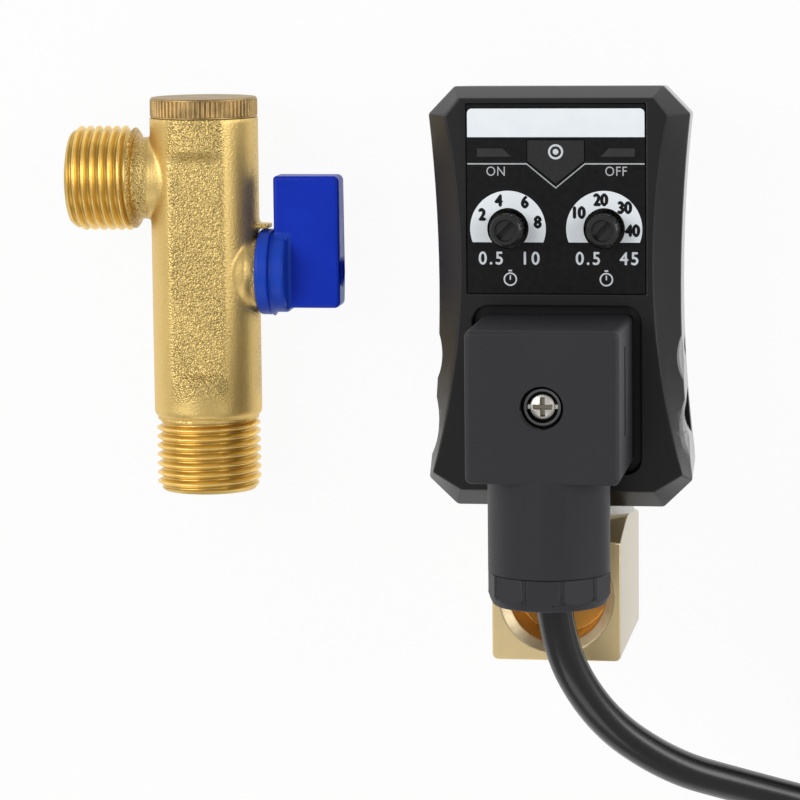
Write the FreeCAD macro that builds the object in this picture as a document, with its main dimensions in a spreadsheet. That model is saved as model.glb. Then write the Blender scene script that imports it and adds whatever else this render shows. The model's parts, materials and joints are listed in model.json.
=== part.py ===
"""Timed drain valve set: a solenoid valve with its timer controller, cable connector and
mains lead, and a strainer ball valve that screws on ahead of it.

The set lies flat: X runs across the control panel, Y towards its top edge and Z out of it.
The origin is the centre of the inlet port's mouth, at the back of the solenoid valve.
All sizes are millimetres."""
import FreeCAD
import Part
import Sketcher
import math
import os
import re

SIZES = {
    # solenoid valve block, with its ports along Z and its operator along Y
    "valve_width": 25.0, "valve_length": 39.5, "valve_drop": 12.5, "valve_top": 13.5,
    "valve_edge": 1.2, "crown_inner": 13.0, "crown_drop": 2.8,
    "thread_major": 10.478, "port_bore": 9.32, "port_depth": 12.0, "port_mouth": 11.1,
    "port_lead": 1.8, "drain_bore": 2.2, "feed_bore": 1.6, "feed_offset": 5.0,
    "chamber_radius": 7.0, "chamber_depth": 5.5, "seat_radius": 3.0, "seat_height": 1.5,
    "orifice_radius": 1.6, "flange_seal_radius": 9.0, "flange_seal_wire": 0.8,
    # solenoid operator
    "flange_across": 23.0, "flange_height": 3.0, "tube_radius": 6.5, "tube_wall": 0.5,
    "spigot_length": 3.0, "core_length": 8.0, "stud_radius": 4.0,
    "stud_length": 6.8, "plunger_gap": 0.12, "plunger_lift": 2.0, "seal_radius": 3.4,
    "seal_height": 2.6, "spring_pocket": 2.6, "spring_depth": 9.0, "spring_wire": 0.3,
    "spring_turns": 7.0, "bobbin_wall": 0.9, "bobbin_flange": 10.6, "flange_wall": 1.2,
    "winding_radius": 10.2, "yoke_wall": 1.8, "yoke_depth": 20.0, "yoke_length": 32.5,
    "washer_radius": 8.5, "washer_height": 1.2, "nut_across": 13.0, "nut_height": 4.2,
    # controller housing
    "case_height": 81.5, "coil_room": 1.45, "seam_height": 12.0, "bevel_height": 6.0,
    "case_wall": 2.0, "face_wall": 2.2, "end_half": 20.2, "corner_rise": 5.3,
    "shoulder_half": 25.3, "waist_half": 23.5, "foot_half": 25.7, "rear_inset": 1.9,
    "seam_inset": 0.9, "face_shoulder": 21.3, "face_waist": 18.7, "face_foot": 24.2,
    "face_end_half": 18.6, "face_margin": 2.0, "face_foot_margin": 3.8, "face_corner": 3.4,
    "grip_radius": 9.0, "grip_bite": 1.5, "grip_first": 30.0, "grip_pitch": 12.5,
    "boss_radius": 2.8, "boss_across": 18.2, "boss_low": 9.0, "boss_high": 71.5,
    "case_screw_radius": 1.25, "case_screw_length": 16.0, "case_screw_head": 2.4,
    # panel label, keys and dials
    "label_width": 34.2, "label_height": 36.2, "label_top": 3.2, "label_recess": 0.5,
    "label_film": 0.3, "dial_pitch": 18.5, "dial_drop": 27.0, "dial_hole": 3.9,
    "knob_radius": 3.1, "knob_rise": 4.3, "knob_length": 8.2, "knob_dish": 2.1,
    "knob_slot": 1.1, "slot_depth": 1.1, "knob_flutes": 24.0, "shaft_radius": 1.5,
    "window_inner": 8.5, "window_outer": 15.2, "window_slant": 1.6, "window_height": 1.7,
    "window_drop": 12.4, "key_half": 5.6, "key_top": 9.9, "key_shoulder": 14.1,
    "key_tip": 18.6, "key_depth": 2.7, "key_stem": 1.7, "key_travel": 0.4, "fit_gap": 0.15,
    "board_half": 15.2, "board_gap": 0.9, "board_top": 4.0, "board_drop": 13.0,
    "board_wall": 1.6, "post_radius": 2.0, "post_across": 12.0, "post_margin": 3.0,
    "pot_side": 9.0, "pot_height": 5.0, "switch_side": 6.0, "switch_height": 3.5,
    "led_radius": 1.5, "led_height": 5.0,
    # cable connector on the panel
    "plug_centre": 23.4, "plug_half": 14.5, "plug_depth": 28.0, "plug_wall": 2.0,
    "plug_round": 1.3, "pocket_half": 16.2, "pocket_depth": 3.0, "pocket_round": 3.0,
    "pocket_floor": 2.2, "gasket_height": 1.0, "gasket_half": 14.0, "gasket_inner": 10.6,
    "base_half": 10.2, "base_height": 3.2, "blade_width": 6.3, "blade_wall": 0.8,
    "blade_length": 11.0, "blade_offset": 5.5, "block_half": 11.8, "block_height": 14.0,
    "well_radius": 4.1, "well_depth": 4.5, "bush_radius": 5.2, "bush_length": 6.0,
    "plug_screw": 1.5, "plug_screw_head": 2.55, "head_height": 2.2, "cup_radius": 3.45,
    "cup_wall": 0.45, "cup_floor": 0.6, "grip_slot_length": 17.0, "grip_slot_width": 2.2,
    "neck_radius": 11.6, "neck_length": 18.0, "neck_axis": 11.7, "gland_spigot": 9.6,
    "gland_bore": 7.2, "gland_throat": 5.0, "spigot_reach": 4.3, "gland_nut_radius": 11.8,
    "gland_nut_nose": 10.7, "gland_nut_cone": 2.4, "gland_notch": 0.45,
    "gland_nut_length": 6.2, "gland_nut_end": 1.9, "grommet_length": 10.0,
    "gland_washer_height": 0.8, "gland_play": 0.5,
    # mains lead
    "cord_radius": 3.5, "coil_centre_x": 104.0, "coil_centre_y": -12.0, "coil_mean": 38.5,
    "coil_pitch": 7.5, "coil_lift": 0.9, "tie_width": 8.0, "tie_wall": 0.8,
    "mains_plug_length": 36.0, "mains_plug_half": 12.0, "mains_plug_depth": 20.0,
    "boot_length": 22.0, "boot_radius": 6.0, "mains_blade_width": 6.35,
    "mains_blade_wall": 1.52, "mains_blade_length": 17.0, "mains_blade_pitch": 12.7,
    "earth_radius": 2.4, "earth_length": 20.0, "earth_offset": 11.9,
    # strainer ball valve, lying on its barrel with its axis along Y
    "strainer_x": -73.6, "barrel_radius": 10.85, "barrel_foot": 15.9, "thread_length": 14.8,
    "neck_step": 0.6, "barrel_length": 59.0, "flat_half": 9.3, "flat_foot": 7.6,
    "flat_length": 46.5, "inlet_rise": 48.0, "inlet_neck": 8.2, "inlet_reach": 26.7,
    "inlet_thread": 13.2, "inlet_bore": 6.5, "outlet_bore": 6.5, "chamber_bore": 8.0,
    "ball_rise": 29.2, "ball_radius": 7.2, "ball_bore": 4.5, "ball_slot": 3.0,
    "ring_gap": 5.65, "ring_height": 2.6, "ring_inner": 4.65, "retainer_height": 3.2,
    "retainer_inner": 4.9, "screen_radius": 5.6, "screen_wall": 0.4, "cap_height": 5.2,
    "cap_spigot": 6.2, "cap_recess": 4.9, "cap_knurls": 72.0, "knurl_depth": 0.35,
    "cap_ring_radius": 8.85, "cap_ring_wire": 0.6, "boss_outer": 7.1, "boss_reach": 13.2,
    "stem_bore": 3.1, "stem_play": 0.08, "stem_rise": 6.6, "stem_start": 5.2,
    "stem_neck": 2.2, "packing_radius": 4.9, "packing_height": 2.6, "stop_radius": 9.7,
    "stop_wall": 0.9, "stop_width": 5.0,
    "handle_skirt": 8.6, "skirt_lap": 2.0, "skirt_length": 2.9, "skirt_wall": 1.2,
    "hub_radius": 8.1, "hub_length": 3.1, "wing_gap": 1.2, "wing_length": 14.5,
    "wing_up": 19.4, "wing_down": 7.0, "wing_wall": 6.6, "wing_round": 1.2,
    "handle_recess": 2.7, "recess_depth": 5.5, "handle_screw_head": 2.4,
    "handle_screw": 1.4, "handle_screw_length": 7.0,
}

doc = FreeCAD.newDocument("drain_valve")
sheet = doc.addObject("Spreadsheet::Sheet", "Sizes")
for row, (alias, size) in enumerate(SIZES.items(), start=1):
    sheet.set(f"A{row}", str(size))
    sheet.setAlias(f"A{row}", alias)
doc.recompute()

PLANES = {"xy": "XY_Plane", "xz": "XZ_Plane", "yz": "YZ_Plane"}
PARTS = []


# ---- helpers -------------------------------------------------------------------------
def expand(formula):
    """The formula with each size's name written as a cell of the sheet."""
    return re.sub(r"[a-z_]+", lambda m: f"Sizes.{m[0]}" if m[0] in SIZES else m[0], str(formula))


def value(formula):
    return float(sheet.evalExpression(expand(formula)))


def bind(thing, prop, formula):
    thing.setExpression(prop, expand(formula))


def place(thing, x="0", y="0", z="0"):
    """Moves a part to a point worked out from the sheet."""
    for axis, formula in zip("xyz", (x, y, z)):
        bind(thing, f"Placement.Base.{axis}", formula)
    return thing


def keep(thing):
    PARTS.append(thing)
    return thing


def body(label, x="0", y="0", z="0"):
    made = doc.addObject("PartDesign::Body", label)
    made.Label = label
    return keep(place(made, x, y, z))


def loop_of(sketch, start, *steps):
    """Adds one closed outline. A step is a point, or a pair of points for an arc: one that
    it passes and its end. Each corner is held at its formulas."""
    ends = [step[-2:] for step in steps]
    closing = () if ends[-1] == start else (start,)
    corners = [start, *ends] if closing else [start, *ends[:-1]]
    spots = [FreeCAD.Vector(value(x), value(y), 0) for x, y in corners]
    lines = []
    for i, step in enumerate([*steps, *closing]):
        a = spots[i]
        b = spots[(i + 1) % len(spots)]
        if len(step) == 4:
            mid = FreeCAD.Vector(value(step[0]), value(step[1]), 0)
            curve = sketch.addGeometry(Part.Arc(a, mid, b))
            first = sketch.getPoint(curve, 1).distanceToPoint(a) < 1e-6
            lines.append((curve, 1 if first else 2, 2 if first else 1))
            through = sketch.addGeometry(Part.Point(mid), True)
            hold(sketch, through, 1, step[0], step[1])
            sketch.addConstraint(Sketcher.Constraint("PointOnObject", through, 1, curve))
        else:
            lines.append((sketch.addGeometry(Part.LineSegment(a, b)), 1, 2))
    for i, (curve, _, end) in enumerate(lines):
        following, begin, _ = lines[(i + 1) % len(lines)]
        sketch.addConstraint(Sketcher.Constraint("Coincident", curve, end, following, begin))
    for (curve, begin, _), (x, y) in zip(lines, corners):
        hold(sketch, curve, begin, x, y)


def hold(sketch, curve, point, x, y):
    for kind, formula in (("DistanceX", x), ("DistanceY", y)):
        number = sketch.addConstraint(
            Sketcher.Constraint(kind, -1, 1, curve, point, value(formula)))
        bind(sketch, f"Constraints[{number}]", formula)


def circle(sketch, x, y, radius):
    centre = FreeCAD.Vector(value(x), value(y), 0)
    curve = sketch.addGeometry(Part.Circle(centre, FreeCAD.Vector(0, 0, 1), value(radius)))
    hold(sketch, curve, 3, x, y)
    number = sketch.addConstraint(Sketcher.Constraint("Radius", curve, value(radius)))
    bind(sketch, f"Constraints[{number}]", radius)


def box_loop(sketch, x0, y0, x1, y1):
    loop_of(sketch, (x0, y0), (x1, y0), (x1, y1), (x0, y1))


def polygon(sketch, sides, radius, turn=0.0, x="0", y="0"):
    """A regular polygon whose corners lie on a circle of that radius."""
    corners = []
    for i in range(sides):
        angle = 2 * math.pi * i / sides + turn
        corners.append((f"{x} + ({radius}) * {math.cos(angle):.9f}",
                        f"{y} + ({radius}) * {math.sin(angle):.9f}"))
    loop_of(sketch, *corners)


def sketch_on(owner, plane, offset="0"):
    made = owner.newObject("Sketcher::SketchObject", owner.Label + "_sketch")
    base = [f for f in owner.Origin.OriginFeatures if f.Role == PLANES[plane]][0]
    made.AttachmentSupport = (base, [""])
    made.MapMode = "FlatFace"
    bind(made, "AttachmentOffset.Base.z", offset)
    return made


def extrude(owner, kind, sketch, length, back=False):
    """A Pad or Pocket. Both run along the sketch's normal, or against it with back."""
    made = owner.newObject("PartDesign::" + kind, f"{owner.Label}_{kind.lower()}")
    made.Profile = sketch
    bind(made, "Length", length)
    made.Reversed = back if kind == "Pad" else not back
    doc.recompute()
    return made


def turn(owner, kind, sketch, axis="V_Axis"):
    """A full Revolution or Groove about one of the sketch's own axes."""
    made = owner.newObject("PartDesign::" + kind, f"{owner.Label}_{kind.lower()}")
    made.Profile = sketch
    made.ReferenceAxis = (sketch, [axis])
    made.Angle = 360
    doc.recompute()
    return made


def loft(owner, kind, sections):
    made = owner.newObject("PartDesign::" + kind, f"{owner.Label}_{kind.lower()}")
    made.Profile = sections[0]
    made.Sections = sections[1:]
    made.Ruled = True
    doc.recompute()
    return made


def pattern(owner, original, axis_sketch, axis, count):
    made = owner.newObject("PartDesign::PolarPattern", owner.Label + "_pattern")
    made.Originals = [original]
    made.Axis = (axis_sketch, [axis])
    made.Angle = 360
    bind(made, "Occurrences", count)
    owner.Tip = made
    doc.recompute()
    return made


def round_edges(owner, size, chosen, kind="Fillet"):
    """Fillets or chamfers the tip's edges that the test chooses."""
    tip = owner.Tip
    doc.recompute()
    names = [f"Edge{i}" for i, e in enumerate(tip.Shape.Edges, start=1) if chosen(e)]
    made = owner.newObject("PartDesign::" + kind, f"{owner.Label}_{kind.lower()}")
    made.Base = (tip, names)
    bind(made, "Radius" if kind == "Fillet" else "Size", size)
    doc.recompute()
    return made


def turned(label, axis, outline, x="0", y="0", z="0"):
    """A piece turned on a lathe: the outline gives radius and station along the axis."""
    made = body(label, x, y, z)
    if axis == "x":
        sketch = sketch_on(made, "xz")
        loop_of(sketch, *[(station, radius) for radius, station in outline])
        turn(made, "Revolution", sketch, "H_Axis")
    else:
        sketch = sketch_on(made, "xy" if axis == "y" else "xz")
        loop_of(sketch, *outline)
        turn(made, "Revolution", sketch)
    return made


def ring(label, axis, inner, outer, start, end, **spot):
    """A plain ring or tube."""
    outline = [(inner, start), (outer, start), (outer, end), (inner, end)]
    return turned(label, axis, outline, **spot)


def along(edge, axis):
    """True for a straight edge that runs along that axis."""
    if edge.Curve.TypeId != "Part::GeomLine":
        return False
    return abs(abs(edge.Curve.Direction.dot(FreeCAD.Vector(*axis))) - 1) < 1e-6


def mirrored_points(points):
    """The outline's right half, bottom to top, followed by its mirror image."""
    return points + [(f"-({x})", y) for x, y in reversed(points)]


# ---- solenoid valve ------------------------------------------------------------------
VALVE_MID = "valve_length / 2"
CHAMBER_FLOOR = "valve_top - chamber_depth"
SEAT_TOP = f"({CHAMBER_FLOOR} + seat_height)"


def valve_block():
    made = body("valve_block")
    sketch = sketch_on(made, "xy")
    box_loop(sketch, "-valve_width / 2", "-valve_drop", "valve_width / 2", "valve_top")
    extrude(made, "Pad", sketch, "valve_length")
    low = -value("valve_drop")
    round_edges(made, "valve_edge",
                lambda e: along(e, (0, 0, 1)) and abs(e.CenterOfMass.y - low) < 1e-6)
    crown = sketch_on(made, "xy", VALVE_MID)
    reach = "(valve_width + valve_length)"
    slope = "crown_drop / (valve_length * 0.58 - crown_inner)"
    loop_of(crown, ("crown_inner", "valve_top"),
            (reach, f"valve_top - ({reach} - crown_inner) * {slope}"), (reach, "valve_top + 1"),
            ("crown_inner", "valve_top + 1"))
    turn(made, "Groove", crown)
    chamber = sketch_on(made, "xy", VALVE_MID)
    loop_of(chamber, ("0", SEAT_TOP), ("seat_radius", SEAT_TOP), ("seat_radius", CHAMBER_FLOOR),
            ("chamber_radius", CHAMBER_FLOOR), ("chamber_radius", "valve_top"), ("0", "valve_top"))
    turn(made, "Groove", chamber)
    orifice = sketch_on(made, "xy", VALVE_MID)
    box_loop(orifice, "0", "0", "orifice_radius", SEAT_TOP)
    turn(made, "Groove", orifice)
    seal = sketch_on(made, "xy", VALVE_MID)
    box_loop(seal, "flange_seal_radius - flange_seal_wire - 0.1", "valve_top - 2 * flange_seal_wire",
             "flange_seal_radius + flange_seal_wire + 0.1", "valve_top")
    turn(made, "Groove", seal)
    inlet = sketch_on(made, "xz")
    loop_of(inlet, ("0", "0"), ("port_bore", "0"), ("port_bore", "port_depth"), ("0", "port_depth"))
    turn(made, "Groove", inlet)
    outlet = sketch_on(made, "xz")
    loop_of(outlet, ("0", "valve_length"), ("port_mouth", "valve_length"),
            ("port_bore", "valve_length - port_lead"), ("port_bore", "valve_length - port_depth"),
            ("drain_bore", "valve_length - port_depth"), ("drain_bore", f"{VALVE_MID} - drain_bore"),
            ("0", f"{VALVE_MID} - drain_bore"))
    turn(made, "Groove", outlet)
    feed_down = sketch_on(made, "xz", f"-({CHAMBER_FLOOR})")
    circle(feed_down, "0", f"{VALVE_MID} - feed_offset", "feed_bore")
    extrude(made, "Pocket", feed_down, "feed_bore * 2")
    feed_in = sketch_on(made, "xy", "port_depth")
    circle(feed_in, "0", "feed_offset + 0.6", "feed_bore")
    extrude(made, "Pocket", feed_in, f"{VALVE_MID} - feed_offset - port_depth")


def flange_seal():
    made = doc.addObject("Part::Torus", "flange_seal")
    made.Label = "flange_seal"
    bind(made, "Radius1", "flange_seal_radius")
    bind(made, "Radius2", "flange_seal_wire")
    place(made, "0", "valve_top - flange_seal_wire", VALVE_MID)
    made.Placement.Rotation = FreeCAD.Rotation(FreeCAD.Vector(1, 0, 0), 90)
    keep(made)


# ---- solenoid operator, turned about Y ------------------------------------------------
CASE_FOOT = "(valve_top + flange_height)"
TUBE_INNER = "(tube_radius - tube_wall)"
YOKE_FOOT = f"({CASE_FOOT} + case_wall + seam_inset + 0.4)"
YOKE_TOP = f"({YOKE_FOOT} + yoke_length)"
TUBE_TOP = f"({YOKE_TOP} - yoke_wall)"
CORE_FACE = f"({TUBE_TOP} - core_length)"
PLUNGER_FOOT = f"({SEAT_TOP} + seal_height * 0.6)"
PLUNGER_TOP = f"({CORE_FACE} - plunger_lift - 0.5)"
SPRING_FOOT = f"({PLUNGER_TOP} - spring_depth)"
OPERATOR = {"z": VALVE_MID}


def guide_tube():
    made = turned("guide_tube", "y", [
        (TUBE_INNER, "valve_top - spigot_length"),
        ("chamber_radius - 0.05", "valve_top - spigot_length"), ("chamber_radius - 0.05", "valve_top"),
        ("chamber_radius + 1", "valve_top"), ("chamber_radius + 1", CASE_FOOT),
        ("tube_radius", CASE_FOOT), ("tube_radius", TUBE_TOP), (TUBE_INNER, TUBE_TOP)],
        **OPERATOR)
    hexagon = sketch_on(made, "xz", "-valve_top")
    polygon(hexagon, 6, "flange_across / 1.7320508")
    circle(hexagon, "0", "0", "chamber_radius + 0.5")
    extrude(made, "Pad", hexagon, "flange_height", back=True)


def fixed_core():
    turned("fixed_core", "y", [
        ("0", CORE_FACE), (f"{TUBE_INNER} - 0.05", CORE_FACE), (f"{TUBE_INNER} - 0.05", TUBE_TOP),
        ("tube_radius", TUBE_TOP), ("tube_radius", f"{YOKE_TOP} - 0.2"),
        ("stud_radius", f"{YOKE_TOP} - 0.2"), ("stud_radius", f"{YOKE_TOP} + stud_length"),
        ("0", f"{YOKE_TOP} + stud_length")], **OPERATOR)


def plunger():
    radius = f"({TUBE_INNER} - plunger_gap)"
    turned("plunger", "y", [
        ("0", f"{SEAT_TOP} + seal_height"), ("seal_radius", f"{SEAT_TOP} + seal_height"),
        ("seal_radius", PLUNGER_FOOT), (f"{radius} - 0.6", PLUNGER_FOOT),
        (radius, f"{PLUNGER_FOOT} + 0.6"), (radius, PLUNGER_TOP), ("spring_pocket", PLUNGER_TOP),
        ("spring_pocket", SPRING_FOOT), ("0", SPRING_FOOT)], **OPERATOR)
    turned("plunger_seal", "y", [
        ("0", SEAT_TOP), ("seal_radius - 0.3", SEAT_TOP), ("seal_radius - 0.05", f"{SEAT_TOP} + 0.5"),
        ("seal_radius - 0.05", f"{SEAT_TOP} + seal_height"), ("0", f"{SEAT_TOP} + seal_height")],
        **OPERATOR)


def plunger_spring():
    """A round-wire compression spring between the plunger's pocket and the fixed core."""
    wire = value("spring_wire")
    radius = value("spring_pocket - spring_wire") - 0.1
    height = value(f"{CORE_FACE} - {SPRING_FOOT}") - 2 * wire
    path = Part.makeHelix(height / value("spring_turns"), height, radius)
    section = Part.Wire(Part.makeCircle(
        wire, FreeCAD.Vector(radius, 0, 0), FreeCAD.Vector(0, 1, 0)))
    made = doc.addObject("Part::Feature", "plunger_spring")
    made.Label = "plunger_spring"
    made.Shape = Part.Wire(path).makePipeShell([section], True, True)
    place(made, "0", f"{SPRING_FOOT} + spring_wire", VALVE_MID)
    made.Placement.Rotation = FreeCAD.Rotation(FreeCAD.Vector(1, 0, 0), -90)
    keep(made)


def coil():
    bore = "(tube_radius + 0.1)"
    hub = f"({bore} + bobbin_wall)"
    low = f"({YOKE_FOOT} + yoke_wall)"
    high = f"({YOKE_TOP} - yoke_wall)"
    turned("coil_bobbin", "y", [
        (bore, low), ("bobbin_flange", low), ("bobbin_flange", f"{low} + flange_wall"),
        (hub, f"{low} + flange_wall"), (hub, f"{high} - flange_wall"),
        ("bobbin_flange", f"{high} - flange_wall"), ("bobbin_flange", high), (bore, high)],
        **OPERATOR)
    ring("coil_winding", "y", hub, "winding_radius", f"{low} + flange_wall",
         f"{high} - flange_wall", **OPERATOR)
    yoke = body("coil_yoke")
    frame = sketch_on(yoke, "xy", f"{VALVE_MID} - yoke_depth / 2")
    inner = "(bobbin_flange + 0.3)"
    outer = f"({inner} + yoke_wall)"
    box_loop(frame, f"-{outer}", YOKE_FOOT, outer, YOKE_TOP)
    box_loop(frame, f"-{inner}", low, inner, high)
    extrude(yoke, "Pad", frame, "yoke_depth")
    hole = sketch_on(yoke, "xz", f"-{YOKE_FOOT}")
    circle(hole, "0", VALVE_MID, bore)
    extrude(yoke, "Pocket", hole, "yoke_length", back=True)
    washer_top = f"({YOKE_TOP} + washer_height)"
    ring("coil_washer", "y", "stud_radius + 0.1", "washer_radius", YOKE_TOP, washer_top,
         **OPERATOR)
    nut = body("coil_nut", z=VALVE_MID)
    hexagon = sketch_on(nut, "xz", f"-{washer_top}")
    polygon(hexagon, 6, "nut_across / 1.7320508")
    circle(hexagon, "0", "0", "stud_radius + 0.02")
    extrude(nut, "Pad", hexagon, "nut_height", back=True)


# ---- controller housing ----------------------------------------------------------------
CASE_TOP = f"({CASE_FOOT} + case_height)"
CASE_DEPTH = f"({VALVE_MID} + bobbin_flange + coil_room + pocket_floor + pocket_depth)"
BEVEL = f"({CASE_DEPTH} - bevel_height)"
GRIPS = [f"({CASE_FOOT} + grip_first)", f"({CASE_FOOT} + grip_first - grip_pitch)"]
BOSSES = [(f"{side}boss_across", f"({CASE_FOOT} + {rise})")
          for side in ("", "-") for rise in ("boss_low", "boss_high")]
FACE_UNDER = f"({CASE_DEPTH} - face_wall)"


def side_outline(owner, height, inset, end, foot, waist, shoulder, corner, low="0", high="0"):
    """The housing's waisted outline: cut corners, and sides bowed inwards."""
    sketch = sketch_on(owner, "xy", height)
    y0 = f"({CASE_FOOT} + {inset} + {low})"
    y1 = f"({CASE_TOP} - {inset} - {high})"
    foot_y = f"({y0} + {corner})"
    shoulder_y = f"({y1} - {corner})"
    waist_y = f"(({foot_y} + {shoulder_y}) / 2)"
    e, f, w, s = (f"({size} - {inset})" for size in (end, foot, waist, shoulder))
    loop_of(sketch, (f"-{e}", y0), (e, y0), (f, foot_y), (w, waist_y, s, shoulder_y), (e, y1),
            (f"-{e}", y1), (f"-{s}", shoulder_y), (f"-{w}", waist_y, f"-{f}", foot_y))
    return sketch


def wall_outline(owner, height, inset):
    return side_outline(owner, height, inset, "end_half", "foot_half", "waist_half",
                        "shoulder_half", "corner_rise")


def face_outline(owner, height, inset):
    return side_outline(owner, height, inset, "face_end_half", "face_foot", "face_waist",
                        "face_shoulder", "face_corner", "face_foot_margin", "face_margin")


def window_loop(sketch, side, gap="0"):
    """One indicator window: a bar whose inner end is cut on a slant."""
    top = f"({CASE_TOP} - window_drop + window_height / 2 - {gap})"
    bottom = f"({CASE_TOP} - window_drop - window_height / 2 + {gap})"
    loop_of(sketch, (f"{side}(window_outer - {gap})", bottom), (f"{side}(window_outer - {gap})", top),
            (f"{side}(window_inner + window_slant + {gap})", top),
            (f"{side}(window_inner + {gap} * 2)", bottom))


def key_loop(sketch, gap="0"):
    """The test key: a five-sided shield that points down."""
    half = f"(key_half - {gap})"
    top = f"({CASE_TOP} - key_top - {gap})"
    shoulder = f"({CASE_TOP} - key_shoulder + {gap} / 2)"
    loop_of(sketch, (f"-{half}", top), (f"-{half}", shoulder),
            ("0", f"{CASE_TOP} - key_tip + {gap} * 1.4"), (half, shoulder), (half, top))


def rounded_box(sketch, half, centre, corner):
    """A square with rounded corners, about a centre on the panel's mid line."""
    near = f"({half} - {corner})"
    bow = f"({half} - {corner} * 0.29289322)"
    loop_of(sketch, (f"-{near}", f"{centre} - {half}"), (near, f"{centre} - {half}"),
            (bow, f"{centre} - {bow}", half, f"{centre} - {near}"), (half, f"{centre} + {near}"),
            (bow, f"{centre} + {bow}", near, f"{centre} + {half}"), (f"-{near}", f"{centre} + {half}"),
            (f"-{bow}", f"{centre} + {bow}", f"-{half}", f"{centre} + {near}"),
            (f"-{half}", f"{centre} - {near}"),
            (f"-{bow}", f"{centre} - {bow}", f"-{near}", f"{centre} - {half}"))


def front_cover():
    made = body("front_cover")
    loft(made, "AdditiveLoft", [
        wall_outline(made, "seam_height", "seam_inset"), wall_outline(made, BEVEL, "0"),
        face_outline(made, CASE_DEPTH, "0")])
    loft(made, "SubtractiveLoft", [
        wall_outline(made, "seam_height", "(seam_inset + case_wall)"),
        wall_outline(made, f"{BEVEL} - 1", "case_wall"),
        face_outline(made, FACE_UNDER, "case_wall")])
    floor = sketch_on(made, "xy", f"{POCKET_BASE} - pocket_floor")
    rounded_box(floor, "(pocket_half + 1.6)", PLUG_CENTRE, "pocket_round")
    extrude(made, "Pad", floor, f"{FACE_UNDER} - {POCKET_BASE} + pocket_floor + 0.2")
    for x, y in BOSSES:
        boss = sketch_on(made, "xy", "seam_height")
        circle(boss, x, y, "boss_radius")
        extrude(made, "Pad", boss, f"{FACE_UNDER} - seam_height - 2")
        thread = sketch_on(made, "xy", "seam_height")
        circle(thread, x, y, "case_screw_radius")
        extrude(made, "Pocket", thread, "case_screw_length")
    pocket = sketch_on(made, "xy", CASE_DEPTH)
    rounded_box(pocket, "pocket_half", PLUG_CENTRE, "pocket_round")
    extrude(made, "Pocket", pocket, "pocket_depth", back=True)
    opening = sketch_on(made, "xy", CASE_DEPTH)
    rounded_box(opening, "(base_half + fit_gap)", PLUG_CENTRE, "1")
    extrude(made, "Pocket", opening, "pocket_depth + pocket_floor + 1", back=True)
    recess = sketch_on(made, "xy", CASE_DEPTH)
    box_loop(recess, "-label_width / 2 - fit_gap", f"{LABEL_FOOT} - fit_gap",
             "label_width / 2 + fit_gap", f"{LABEL_HEAD} + fit_gap")
    extrude(made, "Pocket", recess, "label_recess", back=True)
    holes = sketch_on(made, "xy", CASE_DEPTH)
    for side in ("", "-"):
        circle(holes, f"{side}dial_pitch / 2", DIAL_Y, "dial_hole")
        window_loop(holes, side)
    key_loop(holes)
    extrude(made, "Pocket", holes, "face_wall + 1", back=True)
    for side in ("", "-"):
        for y in GRIPS:
            x = f"{side}(waist_half + grip_radius + 0.6)"
            wide = sketch_on(made, "xy", "seam_height")
            circle(wide, x, y, "grip_radius + grip_bite")
            narrow = sketch_on(made, "xy", BEVEL)
            circle(narrow, x, y, "grip_radius")
            loft(made, "SubtractiveLoft", [wide, narrow])
    tube = sketch_on(made, "xz", f"-{YOKE_FOOT}")
    circle(tube, "0", VALVE_MID, "tube_radius + 0.3")
    extrude(made, "Pocket", tube, "case_wall + seam_inset + 1")


def rear_case():
    made = body("rear_case")
    loft(made, "AdditiveLoft", [
        wall_outline(made, "0", "rear_inset"), wall_outline(made, "seam_height", "seam_inset")])
    loft(made, "SubtractiveLoft", [
        wall_outline(made, "case_wall", "(rear_inset + case_wall)"),
        wall_outline(made, "seam_height", "(seam_inset + case_wall)")])
    for x, y in BOSSES:
        boss = sketch_on(made, "xy", "case_wall - 0.2")
        circle(boss, x, y, "boss_radius")
        extrude(made, "Pad", boss, "seam_height - case_wall + 0.2")
        hole = sketch_on(made, "xy", "0")
        circle(hole, x, y, "case_screw_radius + 0.25")
        extrude(made, "Pocket", hole, "seam_height")
        sink = sketch_on(made, "xy", "0")
        circle(sink, x, y, "case_screw_head + 0.3")
        extrude(made, "Pocket", sink, "case_wall + 1")
    for x, y in POSTS:
        post = sketch_on(made, "xy", "case_wall - 0.2")
        circle(post, x, y, "post_radius")
        extrude(made, "Pad", post, f"{BOARD_BACK} - case_wall + 0.2")


def case_screws():
    screws = []
    for number, (x, y) in enumerate(BOSSES):
        head = doc.addObject("Part::Cylinder", f"screw_head_{number}")
        bind(head, "Radius", "case_screw_head")
        bind(head, "Height", "case_wall * 0.9")
        place(head, x, y, "case_wall * 0.1 + 1")
        shank = doc.addObject("Part::Cylinder", f"screw_shank_{number}")
        bind(shank, "Radius", "case_screw_radius - 0.02")
        bind(shank, "Height", "case_screw_length + seam_height - case_wall - 2")
        place(shank, x, y, "case_wall + 1")
        screw = doc.addObject("Part::Fuse", f"case_screw_{number}")
        screw.Base = head
        screw.Tool = shank
        screws.append(screw)
    group = doc.addObject("Part::Compound", "case_screws")
    group.Label = "case_screws"
    group.Links = screws
    keep(group)


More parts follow.
